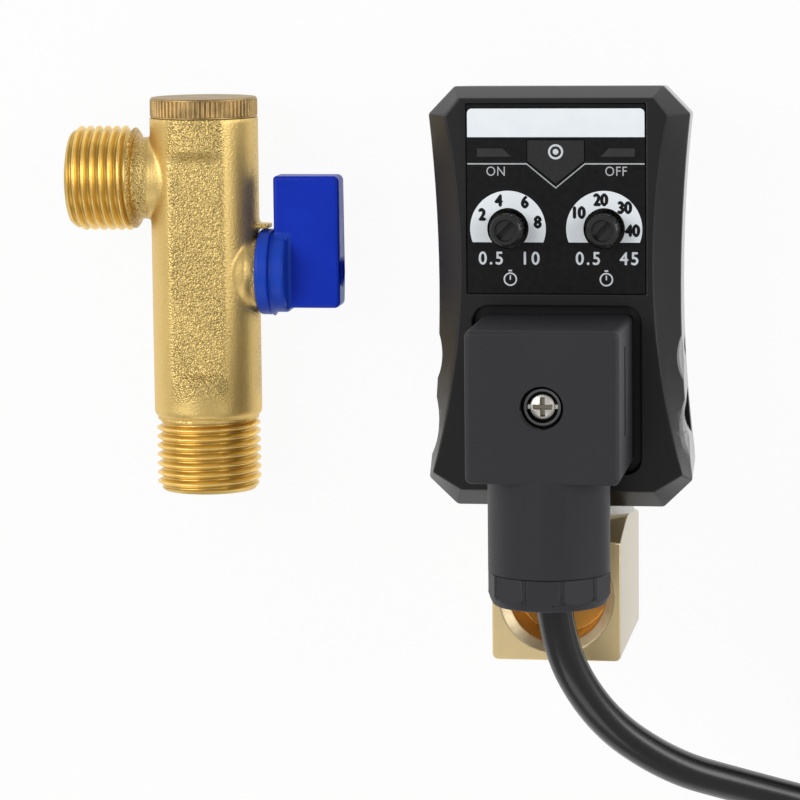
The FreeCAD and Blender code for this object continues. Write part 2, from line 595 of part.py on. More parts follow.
# ---- panel: label, key, windows, dials ---------------------------------------------------
LABEL_HEAD = f"({CASE_TOP} - label_top)"
LABEL_FOOT = f"({LABEL_HEAD} - label_height)"
LABEL_BACK = f"({CASE_DEPTH} - label_recess)"
LABEL_FACE = f"({LABEL_BACK} + label_film)"
DIAL_Y = f"({CASE_TOP} - dial_drop)"
BOARD_BACK = f"({CASE_DEPTH} - board_drop)"
BOARD_FACE = f"({BOARD_BACK} + board_wall)"
BOARD_HEAD = f"({CASE_TOP} - board_top)"
BOARD_FOOT = f"({YOKE_TOP} + stud_length + board_gap)"
POSTS = [(f"{side}post_across", y) for side in ("", "-")
         for y in (f"({BOARD_HEAD} - post_margin)", f"({BOARD_FOOT} + post_margin)")]
KEY_MID = f"({CASE_TOP} - (key_top + key_tip) / 2 + 1)"
WINDOW_MID = "((window_inner + window_outer + window_slant / 2) / 2)"


def label_film():
    made = body("label_film")
    sketch = sketch_on(made, "xy", LABEL_BACK)
    box_loop(sketch, "-label_width / 2", LABEL_FOOT, "label_width / 2", LABEL_HEAD)
    for side in ("", "-"):
        circle(sketch, f"{side}dial_pitch / 2", DIAL_Y, "dial_hole")
        window_loop(sketch, side)
    key_loop(sketch)
    extrude(made, "Pad", sketch, "label_film")


def windows():
    for label, side in (("off_window", ""), ("on_window", "-")):
        made = body(label)
        sketch = sketch_on(made, "xy", FACE_UNDER)
        window_loop(sketch, side, "0.05")
        extrude(made, "Pad", sketch, f"{LABEL_FACE} - {FACE_UNDER}")


def test_key():
    made = body("test_key")
    sketch = sketch_on(made, "xy", f"{LABEL_FACE} - key_depth")
    key_loop(sketch, "fit_gap")
    extrude(made, "Pad", sketch, "key_depth")
    stem = sketch_on(made, "xy", f"{BOARD_FACE} + switch_height - 1")
    circle(stem, "0", KEY_MID, "key_stem")
    extrude(made, "Pad", stem, f"{LABEL_FACE} - key_depth - {BOARD_FACE} - switch_height + 1.1")
    switch = body("test_switch")
    square = sketch_on(switch, "xy", BOARD_FACE)
    box_loop(square, "-switch_side / 2", f"{KEY_MID} - switch_side / 2", "switch_side / 2",
             f"{KEY_MID} + switch_side / 2")
    extrude(switch, "Pad", square, "switch_height")
    hole = sketch_on(switch, "xy", f"{BOARD_FACE} + switch_height")
    circle(hole, "0", KEY_MID, "key_stem + 0.1")
    extrude(switch, "Pocket", hole, "key_travel + 1.2", back=True)


def dial(name, side):
    """A trimmer and the fluted knob on its shaft, the screwdriver slot lying on a diagonal."""
    x = f"{side}dial_pitch / 2"
    pot = body(f"{name}_trimmer", x, DIAL_Y)
    square = sketch_on(pot, "xy", BOARD_FACE)
    box_loop(square, "-pot_side / 2", "-pot_side / 2", "pot_side / 2", "pot_side / 2")
    extrude(pot, "Pad", square, "pot_height")
    hole = sketch_on(pot, "xy", f"{BOARD_FACE} + pot_height")
    circle(hole, "0", "0", "shaft_radius + 0.06")
    extrude(pot, "Pocket", hole, "pot_height - 1", back=True)
    top = f"({CASE_DEPTH} + knob_rise)"
    foot = f"({top} - knob_length)"
    knob = turned(f"{name}_knob", "z", [
        ("0", f"{BOARD_FACE} + 1.1"), ("shaft_radius", f"{BOARD_FACE} + 1.1"), ("shaft_radius", foot),
        ("knob_radius", foot), ("knob_radius", f"{top} - 0.4"), ("knob_radius - 0.4", top),
        ("knob_dish", top), ("knob_dish - 0.2", f"{top} - 0.6"), ("0", f"{top} - 0.6")], x, DIAL_Y)
    slot = sketch_on(knob, "xy", top)
    half = "knob_slot / 2 * 1.41421356"
    reach = "(knob_dish * 0.64)"
    loop_of(slot, (f"-{reach} - {half} / 2", f"-{reach} + {half} / 2"),
            (f"-{reach} + {half} / 2", f"-{reach} - {half} / 2"),
            (f"{reach} + {half} / 2", f"{reach} - {half} / 2"),
            (f"{reach} - {half} / 2", f"{reach} + {half} / 2"))
    extrude(knob, "Pocket", slot, "0.6 + slot_depth", back=True)
    flute = sketch_on(knob, "xy", top)
    circle(flute, "knob_radius + 0.1", "0", "0.27")
    cut = extrude(knob, "Pocket", flute, "knob_length", back=True)
    pattern(knob, cut, flute, "N_Axis", "knob_flutes")


def electronics():
    board = body("circuit_board")
    sketch = sketch_on(board, "xy", BOARD_BACK)
    box_loop(sketch, "-board_half", BOARD_FOOT, "board_half", BOARD_HEAD)
    extrude(board, "Pad", sketch, "board_wall")
    for label, side in (("off_led", ""), ("on_led", "-")):
        turned(label, "z", [
            ("0", BOARD_FACE), ("led_radius + 0.3", BOARD_FACE), ("led_radius + 0.3", f"{BOARD_FACE} + 1"),
            ("led_radius", f"{BOARD_FACE} + 1"), ("led_radius", f"{BOARD_FACE} + led_height - 0.6"),
            ("led_radius - 0.6", f"{BOARD_FACE} + led_height"), ("0", f"{BOARD_FACE} + led_height")],
            f"{side}{WINDOW_MID}", f"{CASE_TOP} - window_drop")


# ---- cable connector ----------------------------------------------------------------------
PLUG_CENTRE = f"({CASE_FOOT} + plug_centre)"
POCKET_BASE = f"({CASE_DEPTH} - pocket_depth)"
PLUG_BACK = f"({POCKET_BASE} + gasket_height)"
PLUG_FACE = f"({PLUG_BACK} + plug_depth)"
NECK_Z = f"({PLUG_FACE} - neck_axis)"
PLUG_FOOT = f"({PLUG_CENTRE} - plug_half)"
NECK_FOOT = f"({PLUG_FOOT} - neck_length)"
WELL_FLOOR = f"({PLUG_FACE} - well_depth)"
NUT_FOOT = f"({NECK_FOOT} - gland_nut_length - 0.1)"
BLADES = (("blade_offset", "0"), ("-blade_offset", "0"), ("0", "-blade_offset - 1"))


def pin_base():
    made = body("pin_base", y=PLUG_CENTRE)
    sketch = sketch_on(made, "xy", f"{PLUG_BACK} - base_height")
    rounded_box(sketch, "base_half", "0", "1")
    circle(sketch, "0", "0", "plug_screw + 0.02")
    extrude(made, "Pad", sketch, "base_height")
    blades = []
    for number, (x, y) in enumerate(BLADES):
        blade = doc.addObject("Part::Box", f"blade_{number}")
        wide = "blade_wall" if number < 2 else "blade_width"
        tall = "blade_width" if number < 2 else "blade_wall"
        bind(blade, "Length", wide)
        bind(blade, "Width", tall)
        bind(blade, "Height", "blade_length")
        place(blade, f"{x} - {wide} / 2", f"{PLUG_CENTRE} + {y} - {tall} / 2", PLUG_BACK)
        blades.append(blade)
    group = doc.addObject("Part::Compound", "contact_blades")
    group.Label = "contact_blades"
    group.Links = blades
    keep(group)


def gasket():
    made = body("connector_gasket", y=PLUG_CENTRE)
    sketch = sketch_on(made, "xy", POCKET_BASE)
    rounded_box(sketch, "gasket_half", "0", "1")
    rounded_box(sketch, "gasket_inner", "0", "1")
    extrude(made, "Pad", sketch, "gasket_height")


def connector_cap():
    made = body("connector_cap")
    shell = sketch_on(made, "xy", PLUG_BACK)
    rounded_box(shell, "plug_half", PLUG_CENTRE, "plug_round")
    extrude(made, "Pad", shell, "plug_depth")
    face = value(PLUG_FACE)
    round_edges(made, "plug_round * 0.8", lambda e: abs(e.BoundBox.ZMin - face) < 1e-6)
    neck = sketch_on(made, "xy", NECK_Z)
    box_loop(neck, "0", NECK_FOOT, "neck_radius", f"{PLUG_FOOT} + plug_wall")
    turn(made, "Revolution", neck)
    spigot = sketch_on(made, "xy", NECK_Z)
    box_loop(spigot, "0", f"{NECK_FOOT} - spigot_reach", "gland_spigot", f"{NECK_FOOT} + 1")
    turn(made, "Revolution", spigot)
    cavity = sketch_on(made, "xy", PLUG_BACK)
    rounded_box(cavity, "(plug_half - plug_wall)", PLUG_CENTRE, "0.8")
    extrude(made, "Pocket", cavity, "plug_depth - plug_wall")
    bush = sketch_on(made, "xy", f"{PLUG_FACE} - plug_wall - bush_length")
    circle(bush, "0", PLUG_CENTRE, "bush_radius")
    extrude(made, "Pad", bush, "bush_length + 0.2")
    well = sketch_on(made, "xy", PLUG_FACE)
    circle(well, "0", PLUG_CENTRE, "well_radius")
    extrude(made, "Pocket", well, "well_depth", back=True)
    hole = sketch_on(made, "xy", WELL_FLOOR)
    circle(hole, "0", PLUG_CENTRE, "plug_screw + 0.15")
    extrude(made, "Pocket", hole, "bush_length", back=True)
    bore = sketch_on(made, "xy", NECK_Z)
    loop_of(bore, ("0", f"{NECK_FOOT} - spigot_reach"), ("gland_bore", f"{NECK_FOOT} - spigot_reach"),
            ("gland_bore", f"{NECK_FOOT} + grommet_length"), ("gland_throat", f"{NECK_FOOT} + grommet_length + 2"),
            ("gland_throat", f"{PLUG_FOOT} + plug_wall + 0.5"), ("0", f"{PLUG_FOOT} + plug_wall + 0.5"))
    turn(made, "Groove", bore)
    for side in ("", "-"):
        slot = sketch_on(made, "yz", f"{side}plug_half")
        middle = f"({PLUG_BACK} + plug_depth * 0.58)"
        box_loop(slot, f"{PLUG_CENTRE} + 1.8 - grip_slot_length / 2", f"{middle} - grip_slot_width / 2",
                 f"{PLUG_CENTRE} + 1.8 + grip_slot_length / 2", f"{middle} + grip_slot_width / 2")
        extrude(made, "Pocket", slot, "plug_wall / 2", back=side == "")


def terminal_block():
    made = body("terminal_block")
    sketch = sketch_on(made, "xy", f"{PLUG_BACK} + 0.1")
    rounded_box(sketch, "block_half", PLUG_CENTRE, "0.8")
    circle(sketch, "0", PLUG_CENTRE, "plug_screw + 0.2")
    for number, (x, y) in enumerate(BLADES):
        wide, tall = ("blade_wall", "blade_width") if number < 2 else ("blade_width", "blade_wall")
        box_loop(sketch, f"{x} - {wide} / 2 - 0.1", f"{PLUG_CENTRE} + {y} - {tall} / 2 - 0.1",
                 f"{x} + {wide} / 2 + 0.1", f"{PLUG_CENTRE} + {y} + {tall} / 2 + 0.1")
    extrude(made, "Pad", sketch, "block_height")


def connector_screw():
    cup_top = f"({WELL_FLOOR} + cup_floor + head_height)"
    turned("screw_cup", "z", [
        ("plug_screw + 0.1", WELL_FLOOR), ("cup_radius", WELL_FLOOR), ("cup_radius", cup_top),
        ("cup_radius - cup_wall", cup_top), ("cup_radius - cup_wall", f"{WELL_FLOOR} + cup_floor"),
        ("plug_screw + 0.1", f"{WELL_FLOOR} + cup_floor")], y=PLUG_CENTRE)
    seat = f"({WELL_FLOOR} + cup_floor)"
    screw = turned("connector_screw", "z", [
        ("0", f"{PLUG_BACK} - base_height"), ("plug_screw", f"{PLUG_BACK} - base_height"),
        ("plug_screw", seat), ("plug_screw_head", seat), ("plug_screw_head", f"{seat} + head_height * 0.6"),
        ("plug_screw_head * 0.8", f"{seat} + head_height"), ("0", f"{seat} + head_height")],
        y=PLUG_CENTRE)
    cross = sketch_on(screw, "xy", f"{seat} + head_height")
    arm = "(plug_screw_head * 0.6)"
    thin = "(plug_screw_head * 0.14)"
    loop_of(cross, (f"-{thin}", f"-{arm}"), (thin, f"-{arm}"), (thin, f"-{thin}"),
            ("plug_screw_head + 0.2", f"-{thin}"), ("plug_screw_head + 0.2", thin), (thin, thin),
            (thin, arm), (f"-{thin}", arm), (f"-{thin}", thin), ("-plug_screw_head - 0.2", thin),
            ("-plug_screw_head - 0.2", f"-{thin}"), (f"-{thin}", f"-{thin}"))
    extrude(screw, "Pocket", cross, "head_height * 0.55", back=True)


def gland():
    spigot_foot = f"({NECK_FOOT} - spigot_reach)"
    washer_top = f"({spigot_foot} + gland_washer_height)"
    ring("gland_washer", "y", "cord_radius + 0.3", "gland_bore - 0.1", spigot_foot, washer_top, z=NECK_Z)
    ring("gland_grommet", "y", "cord_radius + 0.1", "gland_bore - 0.05", washer_top,
         f"{washer_top} + grommet_length", z=NECK_Z)
    nut = body("gland_nut", z=NECK_Z)
    outline = sketch_on(nut, "xz", f"-{NUT_FOOT}")
    polygon(outline, 10, "gland_nut_radius", math.pi / 10 + math.pi / 2)
    extrude(nut, "Pad", outline, "gland_nut_length", back=True)
    bore = sketch_on(nut, "xy")
    loop_of(bore, ("0", NUT_FOOT), ("cord_radius + gland_play", NUT_FOOT),
            ("cord_radius + gland_play", f"{spigot_foot} - 0.1"), ("gland_spigot + 0.08", f"{spigot_foot} - 0.1"),
            ("gland_spigot + 0.08", f"{NUT_FOOT} + gland_nut_length"), ("0", f"{NUT_FOOT} + gland_nut_length"))
    turn(nut, "Groove", bore)
    cone = sketch_on(nut, "xy")
    rim = "(gland_nut_radius + 1)"
    slope = "gland_nut_cone / (gland_nut_radius - gland_nut_nose)"
    loop_of(cone, ("gland_nut_nose", NUT_FOOT), (rim, NUT_FOOT),
            (rim, f"{NUT_FOOT} + ({rim} - gland_nut_nose) * {slope}"))
    turn(nut, "Groove", cone)
    notch = sketch_on(nut, "xz", f"-{NUT_FOOT}")
    circle(notch, "gland_nut_radius + 0.1", "0", "gland_notch")
    cut = extrude(nut, "Pocket", notch, "gland_nut_length", back=True)
    made = nut.newObject("PartDesign::PolarPattern", "gland_nut_pattern")
    made.Originals = [cut]
    made.Axis = (notch, ["N_Axis"])
    made.Angle = 360
    made.Occurrences = 10
    nut.Tip = made
    doc.recompute()


# ---- mains lead ------------------------------------------------------------------------------
# The lead leaves the gland straight, bends down in front of the outlet port and runs out along
# the table to the coil. The corners of both routes are chosen by hand.
LEAD_ROUTE = [
    ("0", f"{NECK_FOOT} + 9", NECK_Z), ("0", f"{NUT_FOOT} - 4.7", NECK_Z), (8.1, -21.6, 46.4),
    (21.5, -33.2, 38.0), (34.8, -39.0, 28.5), (47.0, -44.3, 19.3), (59.2, -49.0, 11.8),
    (71.4, -52.3, 6.8), (82.0, -53.5, 4.6), (92.0, -53.6, 4.6),
]
TAIL_ROUTE = [
    ("coil_centre_x + 42.2", "coil_centre_y", "coil_lift + 1.5 * coil_pitch"),
    ("coil_centre_x + 41.8", "coil_centre_y + 15", 11.0),
    ("coil_centre_x + 41.8", "coil_centre_y + 29.5", 10.3),
]


def lead_tube(label, route):
    """A round tube along straight runs joined by tangent arcs, each as large as its runs allow."""
    points = [FreeCAD.Vector(*(value(size) for size in point)) for point in route]
    edges = []
    start = points[0]
    for before, corner, after in zip(points, points[1:], points[2:]):
        into = (corner - before).normalize()
        out = (after - corner).normalize()
        half_turn = into.getAngle(out) / 2
        cut = 0.45 * min((corner - before).Length, (after - corner).Length)
        radius = cut / math.tan(half_turn)
        first = corner - into * cut
        last = corner + out * cut
        inward = (out - into).normalize()
        middle = corner + inward * (radius / math.cos(half_turn) - radius)
        edges += [Part.LineSegment(start, first).toShape(), Part.Arc(first, middle, last).toShape()]
        start = last
        print(f"{label}: bend radius {radius:.1f}")
    edges.append(Part.LineSegment(start, points[-1]).toShape())
    path = Part.Wire(edges)
    section = Part.Wire(Part.makeCircle(value("cord_radius"), points[0], points[1] - points[0]))
    made = doc.addObject("Part::Feature", label)
    made.Label = label
    made.Shape = path.makePipeShell([section], True, False)
    ideal = math.pi * value("cord_radius") ** 2 * path.Length
    print(f"{label}: length {path.Length:.1f}, volume over ideal {made.Shape.Volume / ideal:.4f}")
    keep(made)


def lead_coil():
    inner = "(coil_mean - coil_pitch)"
    outer = "(coil_mean + coil_pitch)"
    top = "(coil_lift + 2 * coil_pitch)"
    spot = {"x": "coil_centre_x", "y": "coil_centre_y"}
    turned("lead_coil", "z", [
        (f"{inner} + 2", "coil_lift"), (f"{outer} - 2", "coil_lift"), (outer, "coil_lift + 2"),
        (outer, f"{top} - 2"), (f"{outer} - 2", top), (f"{inner} + 2", top), (inner, f"{top} - 2"),
        (inner, "coil_lift + 2")], **spot)
    tie = body("lead_tie", **spot)
    sketch = sketch_on(tie, "yz", "-tie_width / 2")
    box_loop(sketch, f"{inner} - tie_wall - 0.5", "0", f"{outer} + tie_wall + 0.1", f"{top} + tie_wall + 0.1")
    box_loop(sketch, f"{inner} - 0.5", "coil_lift - 0.1", f"{outer} + 0.1", f"{top} + 0.1")
    extrude(tie, "Pad", sketch, "tie_width")


def mains_plug():
    x, y, z = TAIL_ROUTE[-1]
    spot = {"x": f"{x}", "y": f"{y}", "z": f"{z}"}
    made = body("mains_plug", **spot)
    boot = sketch_on(made, "xy")
    loop_of(boot, ("0", "0"), ("cord_radius + 0.6", "0"), ("boot_radius", "boot_length"), ("0", "boot_length"))
    turn(made, "Revolution", boot)
    sections = []
    for station, wide, deep in (
            ("boot_length - 1", "boot_radius", "boot_radius"),
            ("boot_length + mains_plug_length * 0.45", "mains_plug_half", "(mains_plug_depth / 2)"),
            ("boot_length + mains_plug_length", "mains_plug_half", "(mains_plug_depth / 2)")):
        section = sketch_on(made, "xz", f"-({station})")
        corner = "3"
        near_x, near_y = f"({wide} - {corner})", f"({deep} - {corner})"
        loop_of(section, (f"-{near_x}", f"-{deep}"), (near_x, f"-{deep}"), (wide, f"-{near_y}"),
                (wide, near_y), (near_x, deep), (f"-{near_x}", deep), (f"-{wide}", near_y),
                (f"-{wide}", f"-{near_y}"))
        sections.append(section)
    loft(made, "AdditiveLoft", sections)
    face = "(boot_length + mains_plug_length)"
    pins = []
    for number, side in enumerate(("", "-")):
        blade = doc.addObject("Part::Box", f"mains_blade_{number}")
        bind(blade, "Length", "mains_blade_wall")
        bind(blade, "Width", "mains_blade_length")
        bind(blade, "Height", "mains_blade_width")
        place(blade, f"{x} + {side}mains_blade_pitch / 2 - mains_blade_wall / 2", f"{y} + {face}",
              f"{z} + 1.5 - mains_blade_width / 2")
        pins.append(blade)
    earth = doc.addObject("Part::Cylinder", "earth_pin")
    bind(earth, "Radius", "earth_radius")
    bind(earth, "Height", "earth_length")
    place(earth, f"{x}", f"{y} + {face}", f"{z} - mains_plug_depth / 2 + earth_radius + 1")
    earth.Placement.Rotation = FreeCAD.Rotation(FreeCAD.Vector(1, 0, 0), -90)
    group = doc.addObject("Part::Compound", "mains_pins")
    group.Label = "mains_pins"
    group.Links = [*pins, earth]
    keep(group)


# ---- strainer ball valve ------------------------------------------------------------------------
STRAINER = {"x": "strainer_x", "z": "barrel_radius"}
THREAD_TOP = "(barrel_foot + thread_length)"
BARREL_TOP = f"({THREAD_TOP} + barrel_length)"
INLET_Y = f"({THREAD_TOP} + inlet_rise)"
STEM_Y = f"({THREAD_TOP} + ball_rise)"
SEAT_LOW = f"({STEM_Y} - ring_gap - ring_height)"
RETAINER = f"({STEM_Y} + ring_gap + ring_height)"
SCREEN_FOOT = f"({RETAINER} + retainer_height)"


def strainer_body():
    made = body("strainer_body", **STRAINER)
    barrel = sketch_on(made, "xy")
    loop_of(barrel, ("0", "barrel_foot"), ("thread_major - 1.2", "barrel_foot"),
            ("thread_major", "barrel_foot + 1.2"), ("thread_major", f"{THREAD_TOP} - neck_step"),
            ("barrel_radius - 0.9", THREAD_TOP), ("barrel_radius", f"{THREAD_TOP} + 0.8"),
            ("barrel_radius", BARREL_TOP), ("0", BARREL_TOP))
    turn(made, "Revolution", barrel)
    for side in ("", "-"):
        flat = sketch_on(made, "xz", f"-({THREAD_TOP} + flat_foot)")
        box_loop(flat, "-barrel_radius", f"{side}flat_half", "barrel_radius", f"{side}(barrel_radius + 1)")
        extrude(made, "Pocket", flat, "flat_length", back=True)
    inlet = body_sketch_x(made, INLET_Y)
    loop_of(inlet, ("-inlet_reach", "0"), ("-inlet_reach", "thread_major - 1.2"),
            ("-inlet_reach + 1.2", "thread_major"), ("-inlet_reach + inlet_thread - 0.8", "thread_major"),
            ("-inlet_reach + inlet_thread", "thread_major - 1"), ("-inlet_reach + inlet_thread", "inlet_neck"),
            ("0", "inlet_neck"), ("0", "0"))
    turn(made, "Revolution", inlet, "H_Axis")
    boss = body_sketch_x(made, STEM_Y)
    loop_of(boss, ("0", "0"), ("0", "boss_outer + 1.2"), ("barrel_radius - 1.6", "boss_outer + 1.2"),
            ("barrel_radius - 0.2", "boss_outer"), ("boss_reach", "boss_outer"), ("boss_reach", "0"))
    turn(made, "Revolution", boss, "H_Axis")
    stop = sketch_on(made, "yz", "barrel_radius * 0.7")
    rise = f"({STEM_Y} + stop_radius)"
    box_loop(stop, f"{rise} - stop_wall", "-stop_width / 2", rise, "stop_width / 2")
    extrude(made, "Pad", stop, "boss_reach - barrel_radius * 0.7")
    bore = sketch_on(made, "xy")
    loop_of(bore, ("0", "barrel_foot"), ("outlet_bore", "barrel_foot"), ("outlet_bore", SEAT_LOW),
            ("chamber_bore", SEAT_LOW), ("chamber_bore", f"{BARREL_TOP} - 1.3"),
            ("cap_ring_radius + 0.8", f"{BARREL_TOP} - 1.3"), ("cap_ring_radius + 0.8", BARREL_TOP), ("0", BARREL_TOP))
    turn(made, "Groove", bore)
    inlet_bore = body_sketch_x(made, INLET_Y)
    box_loop(inlet_bore, "-inlet_reach", "0", "0", "inlet_bore")
    turn(made, "Groove", inlet_bore, "H_Axis")
    stem_bore = body_sketch_x(made, STEM_Y)
    loop_of(stem_bore, ("0", "0"), ("0", "stem_bore"), ("boss_reach - packing_height", "stem_bore"),
            ("boss_reach - packing_height", "packing_radius + 0.05"), ("boss_reach", "packing_radius + 0.05"),
            ("boss_reach", "0"))
    turn(made, "Groove", stem_bore, "H_Axis")


def body_sketch_x(owner, station):
    """A sketch whose horizontal axis runs along X through that station on Y."""
    return sketch_on(owner, "xz", f"-{station}")


def strainer_inside():
    ring("seat_lower", "y", "ring_inner", "chamber_bore - 0.05", SEAT_LOW, f"{SEAT_LOW} + ring_height", **STRAINER)
    ring("seat_upper", "y", "ring_inner", "chamber_bore - 0.05", f"{STEM_Y} + ring_gap", RETAINER, **STRAINER)
    turned("seat_retainer", "y", [
        ("retainer_inner", RETAINER), ("chamber_bore - 0.05", RETAINER), ("chamber_bore - 0.05", SCREEN_FOOT),
        ("screen_radius + 0.1", SCREEN_FOOT), ("screen_radius + 0.1", f"{SCREEN_FOOT} - 1"),
        ("retainer_inner", f"{SCREEN_FOOT} - 1")], **STRAINER)
    ball = turned("ball", "y", [
        ("ball_bore", f"{STEM_Y} - sqrt(ball_radius ^ 2 - ball_bore ^ 2)"),
        ("ball_radius", STEM_Y, "ball_bore", f"{STEM_Y} + sqrt(ball_radius ^ 2 - ball_bore ^ 2)")], **STRAINER)
    slot = sketch_on(ball, "yz", "ball_radius + 1")
    box_loop(slot, f"{STEM_Y} - ball_radius", "-ball_slot / 2", f"{STEM_Y} + ball_radius", "ball_slot / 2")
    extrude(ball, "Pocket", slot, "ball_radius + 1 - stem_start + 0.1", back=True)
    ring("screen_tube", "y", "screen_radius - screen_wall", "screen_radius", f"{SCREEN_FOOT} - 0.9",
         f"{BARREL_TOP} - cap_spigot + cap_recess", **STRAINER)


def strainer_cap():
    made = turned("strainer_cap", "y", [
        ("screen_radius + 0.08", f"{BARREL_TOP} - cap_spigot"), ("chamber_bore - 0.1", f"{BARREL_TOP} - cap_spigot"),
        ("chamber_bore - 0.1", f"{BARREL_TOP} + 0.1"), ("barrel_radius", f"{BARREL_TOP} + 0.1"),
        ("barrel_radius", f"{BARREL_TOP} + cap_height - 0.6"), ("barrel_radius - 0.6", f"{BARREL_TOP} + cap_height"),
        ("0", f"{BARREL_TOP} + cap_height"), ("0", f"{BARREL_TOP} - cap_spigot + cap_recess"),
        ("screen_radius + 0.08", f"{BARREL_TOP} - cap_spigot + cap_recess")], **STRAINER)
    groove = sketch_on(made, "xz", f"-({BARREL_TOP} + 0.1)")
    deep = "(barrel_radius - knurl_depth)"
    loop_of(groove, (deep, "0"), ("barrel_radius + 0.1", "-0.3"), ("barrel_radius + 0.1", "0.3"))
    cut = extrude(made, "Pocket", groove, "cap_height", back=True)
    pattern(made, cut, groove, "N_Axis", "cap_knurls")
    seal = doc.addObject("Part::Torus", "cap_seal")
    seal.Label = "cap_seal"
    bind(seal, "Radius1", "cap_ring_radius")
    bind(seal, "Radius2", "cap_ring_wire")
    place(seal, "strainer_x", f"{BARREL_TOP} + 0.1 - cap_ring_wire", "barrel_radius")
    seal.Placement.Rotation = FreeCAD.Rotation(FreeCAD.Vector(1, 0, 0), 90)
    keep(seal)


STEM_END = "(boss_reach + stem_rise)"
HANDLE_START = "(boss_reach - skirt_lap)"
WING_START = "(boss_reach + wing_gap)"
WING_REACH = "(boss_reach + wing_length)"


def stem():
    spot = {"x": "strainer_x", "y": STEM_Y, "z": "barrel_radius"}
    radius = "(stem_bore - stem_play)"
    made = turned("stem", "x", [
        ("0", "stem_start"), (radius, "stem_start"), (radius, "boss_reach + 0.6"),
        ("stem_neck", "boss_reach + 0.6"), ("stem_neck", STEM_END), ("0", STEM_END)], **spot)
    for side in ("", "-"):
        tang = sketch_on(made, "yz", "stem_start")
        box_loop(tang, "-stem_bore", f"{side}(ball_slot / 2 - 0.1)", "stem_bore", f"{side}stem_bore")
        extrude(made, "Pocket", tang, "ball_radius - stem_start + 0.2")
    thread = sketch_on(made, "yz", STEM_END)
    circle(thread, "0", "0", "handle_screw + 0.02")
    extrude(made, "Pocket", thread, "handle_screw_length", back=True)
    ring("stem_packing", "x", "stem_bore + 0.02", "packing_radius", "boss_reach - packing_height", "boss_reach", **spot)


def handle():
    spot = {"x": "strainer_x", "y": STEM_Y, "z": "barrel_radius"}
    made = body("handle", **spot)
    hub = sketch_on(made, "xz")
    skirt_end = f"({HANDLE_START} + skirt_length)"
    hub_end = f"({skirt_end} + hub_length)"
    loop_of(hub, (HANDLE_START, "handle_skirt - skirt_wall"), (HANDLE_START, "handle_skirt"),
            (skirt_end, "handle_skirt"), (skirt_end, "hub_radius"), (hub_end, "hub_radius"), (hub_end, "0"),
            (f"{skirt_end} + 0.2", "0"), (f"{skirt_end} + 0.2", "handle_skirt - skirt_wall"))
    turn(made, "Revolution", hub, "H_Axis")
    wing = sketch_on(made, "xy", "-wing_wall / 2")
    tip, soft = "(wing_up - wing_round * 0.293)", "(wing_down - wing_round * 0.293)"
    bend = f"({WING_REACH} - wing_round * 0.293)"
    inner = f"({WING_REACH} - wing_round)"
    loop_of(wing, (WING_START, "-wing_down"), (inner, "-wing_down"),
            (bend, f"-{soft}", WING_REACH, "-wing_down + wing_round"), (WING_REACH, "wing_up - wing_round"),
            (bend, tip, inner, "wing_up"), (WING_START, "wing_up"))
    extrude(made, "Pad", wing, "wing_wall")
    socket = sketch_on(made, "yz", f"{skirt_end} + 0.2")
    circle(socket, "0", "0", "stem_neck + 0.05")
    extrude(made, "Pocket", socket, f"{STEM_END} + 0.1 - {skirt_end}")
    hole = sketch_on(made, "yz", WING_REACH)
    circle(hole, "0", "0", "handle_screw + 0.15")
    extrude(made, "Pocket", hole, f"{WING_REACH} - {STEM_END}", back=True)
    recess = sketch_on(made, "yz", WING_REACH)
    circle(recess, "0", "0", "handle_recess")
    extrude(made, "Pocket", recess, "recess_depth", back=True)
    seat = f"({WING_REACH} - recess_depth)"
    turned("handle_screw", "x", [
        ("0", f"{seat} - handle_screw_length"), ("handle_screw", f"{seat} - handle_screw_length"),
        ("handle_screw", seat), ("handle_screw_head", seat), ("handle_screw_head", f"{seat} + 1.2"),
        ("handle_screw_head * 0.7", f"{seat} + 1.7"), ("0", f"{seat} + 1.7")], **spot)


# ---- build ---------------------------------------------------------------------------------------
valve_block()
flange_seal()
guide_tube()
fixed_core()
plunger()
plunger_spring()
coil()
front_cover()
rear_case()
case_screws()
label_film()
windows()
test_key()
dial("on_time", "-")
dial("off_time", "")
electronics()
pin_base()
gasket()
connector_cap()
terminal_block()
connector_screw()
gland()
lead_tube("lead", LEAD_ROUTE)
lead_coil()
lead_tube("lead_tail", TAIL_ROUTE)
mains_plug()
strainer_body()
strainer_inside()
strainer_cap()
stem()
handle()
doc.recompute()

for thing in doc.Objects:
    if "Invalid" in thing.State or "Error" in thing.State:
        raise RuntimeError(f"{thing.Label} failed: {thing.State}")
os.makedirs("parts", exist_ok=True)
for part in PARTS:
    shape = part.Shape
    if shape.isNull() or not shape.isValid():
        raise RuntimeError(f"{part.Label} has no valid shape")
    shape.exportStep(f"parts/{part.Label}.step")
print(f"{len(PARTS)} parts written")
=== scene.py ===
"""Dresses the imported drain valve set: threads, edges, prints, lead, finishes and the studio it stands in."""

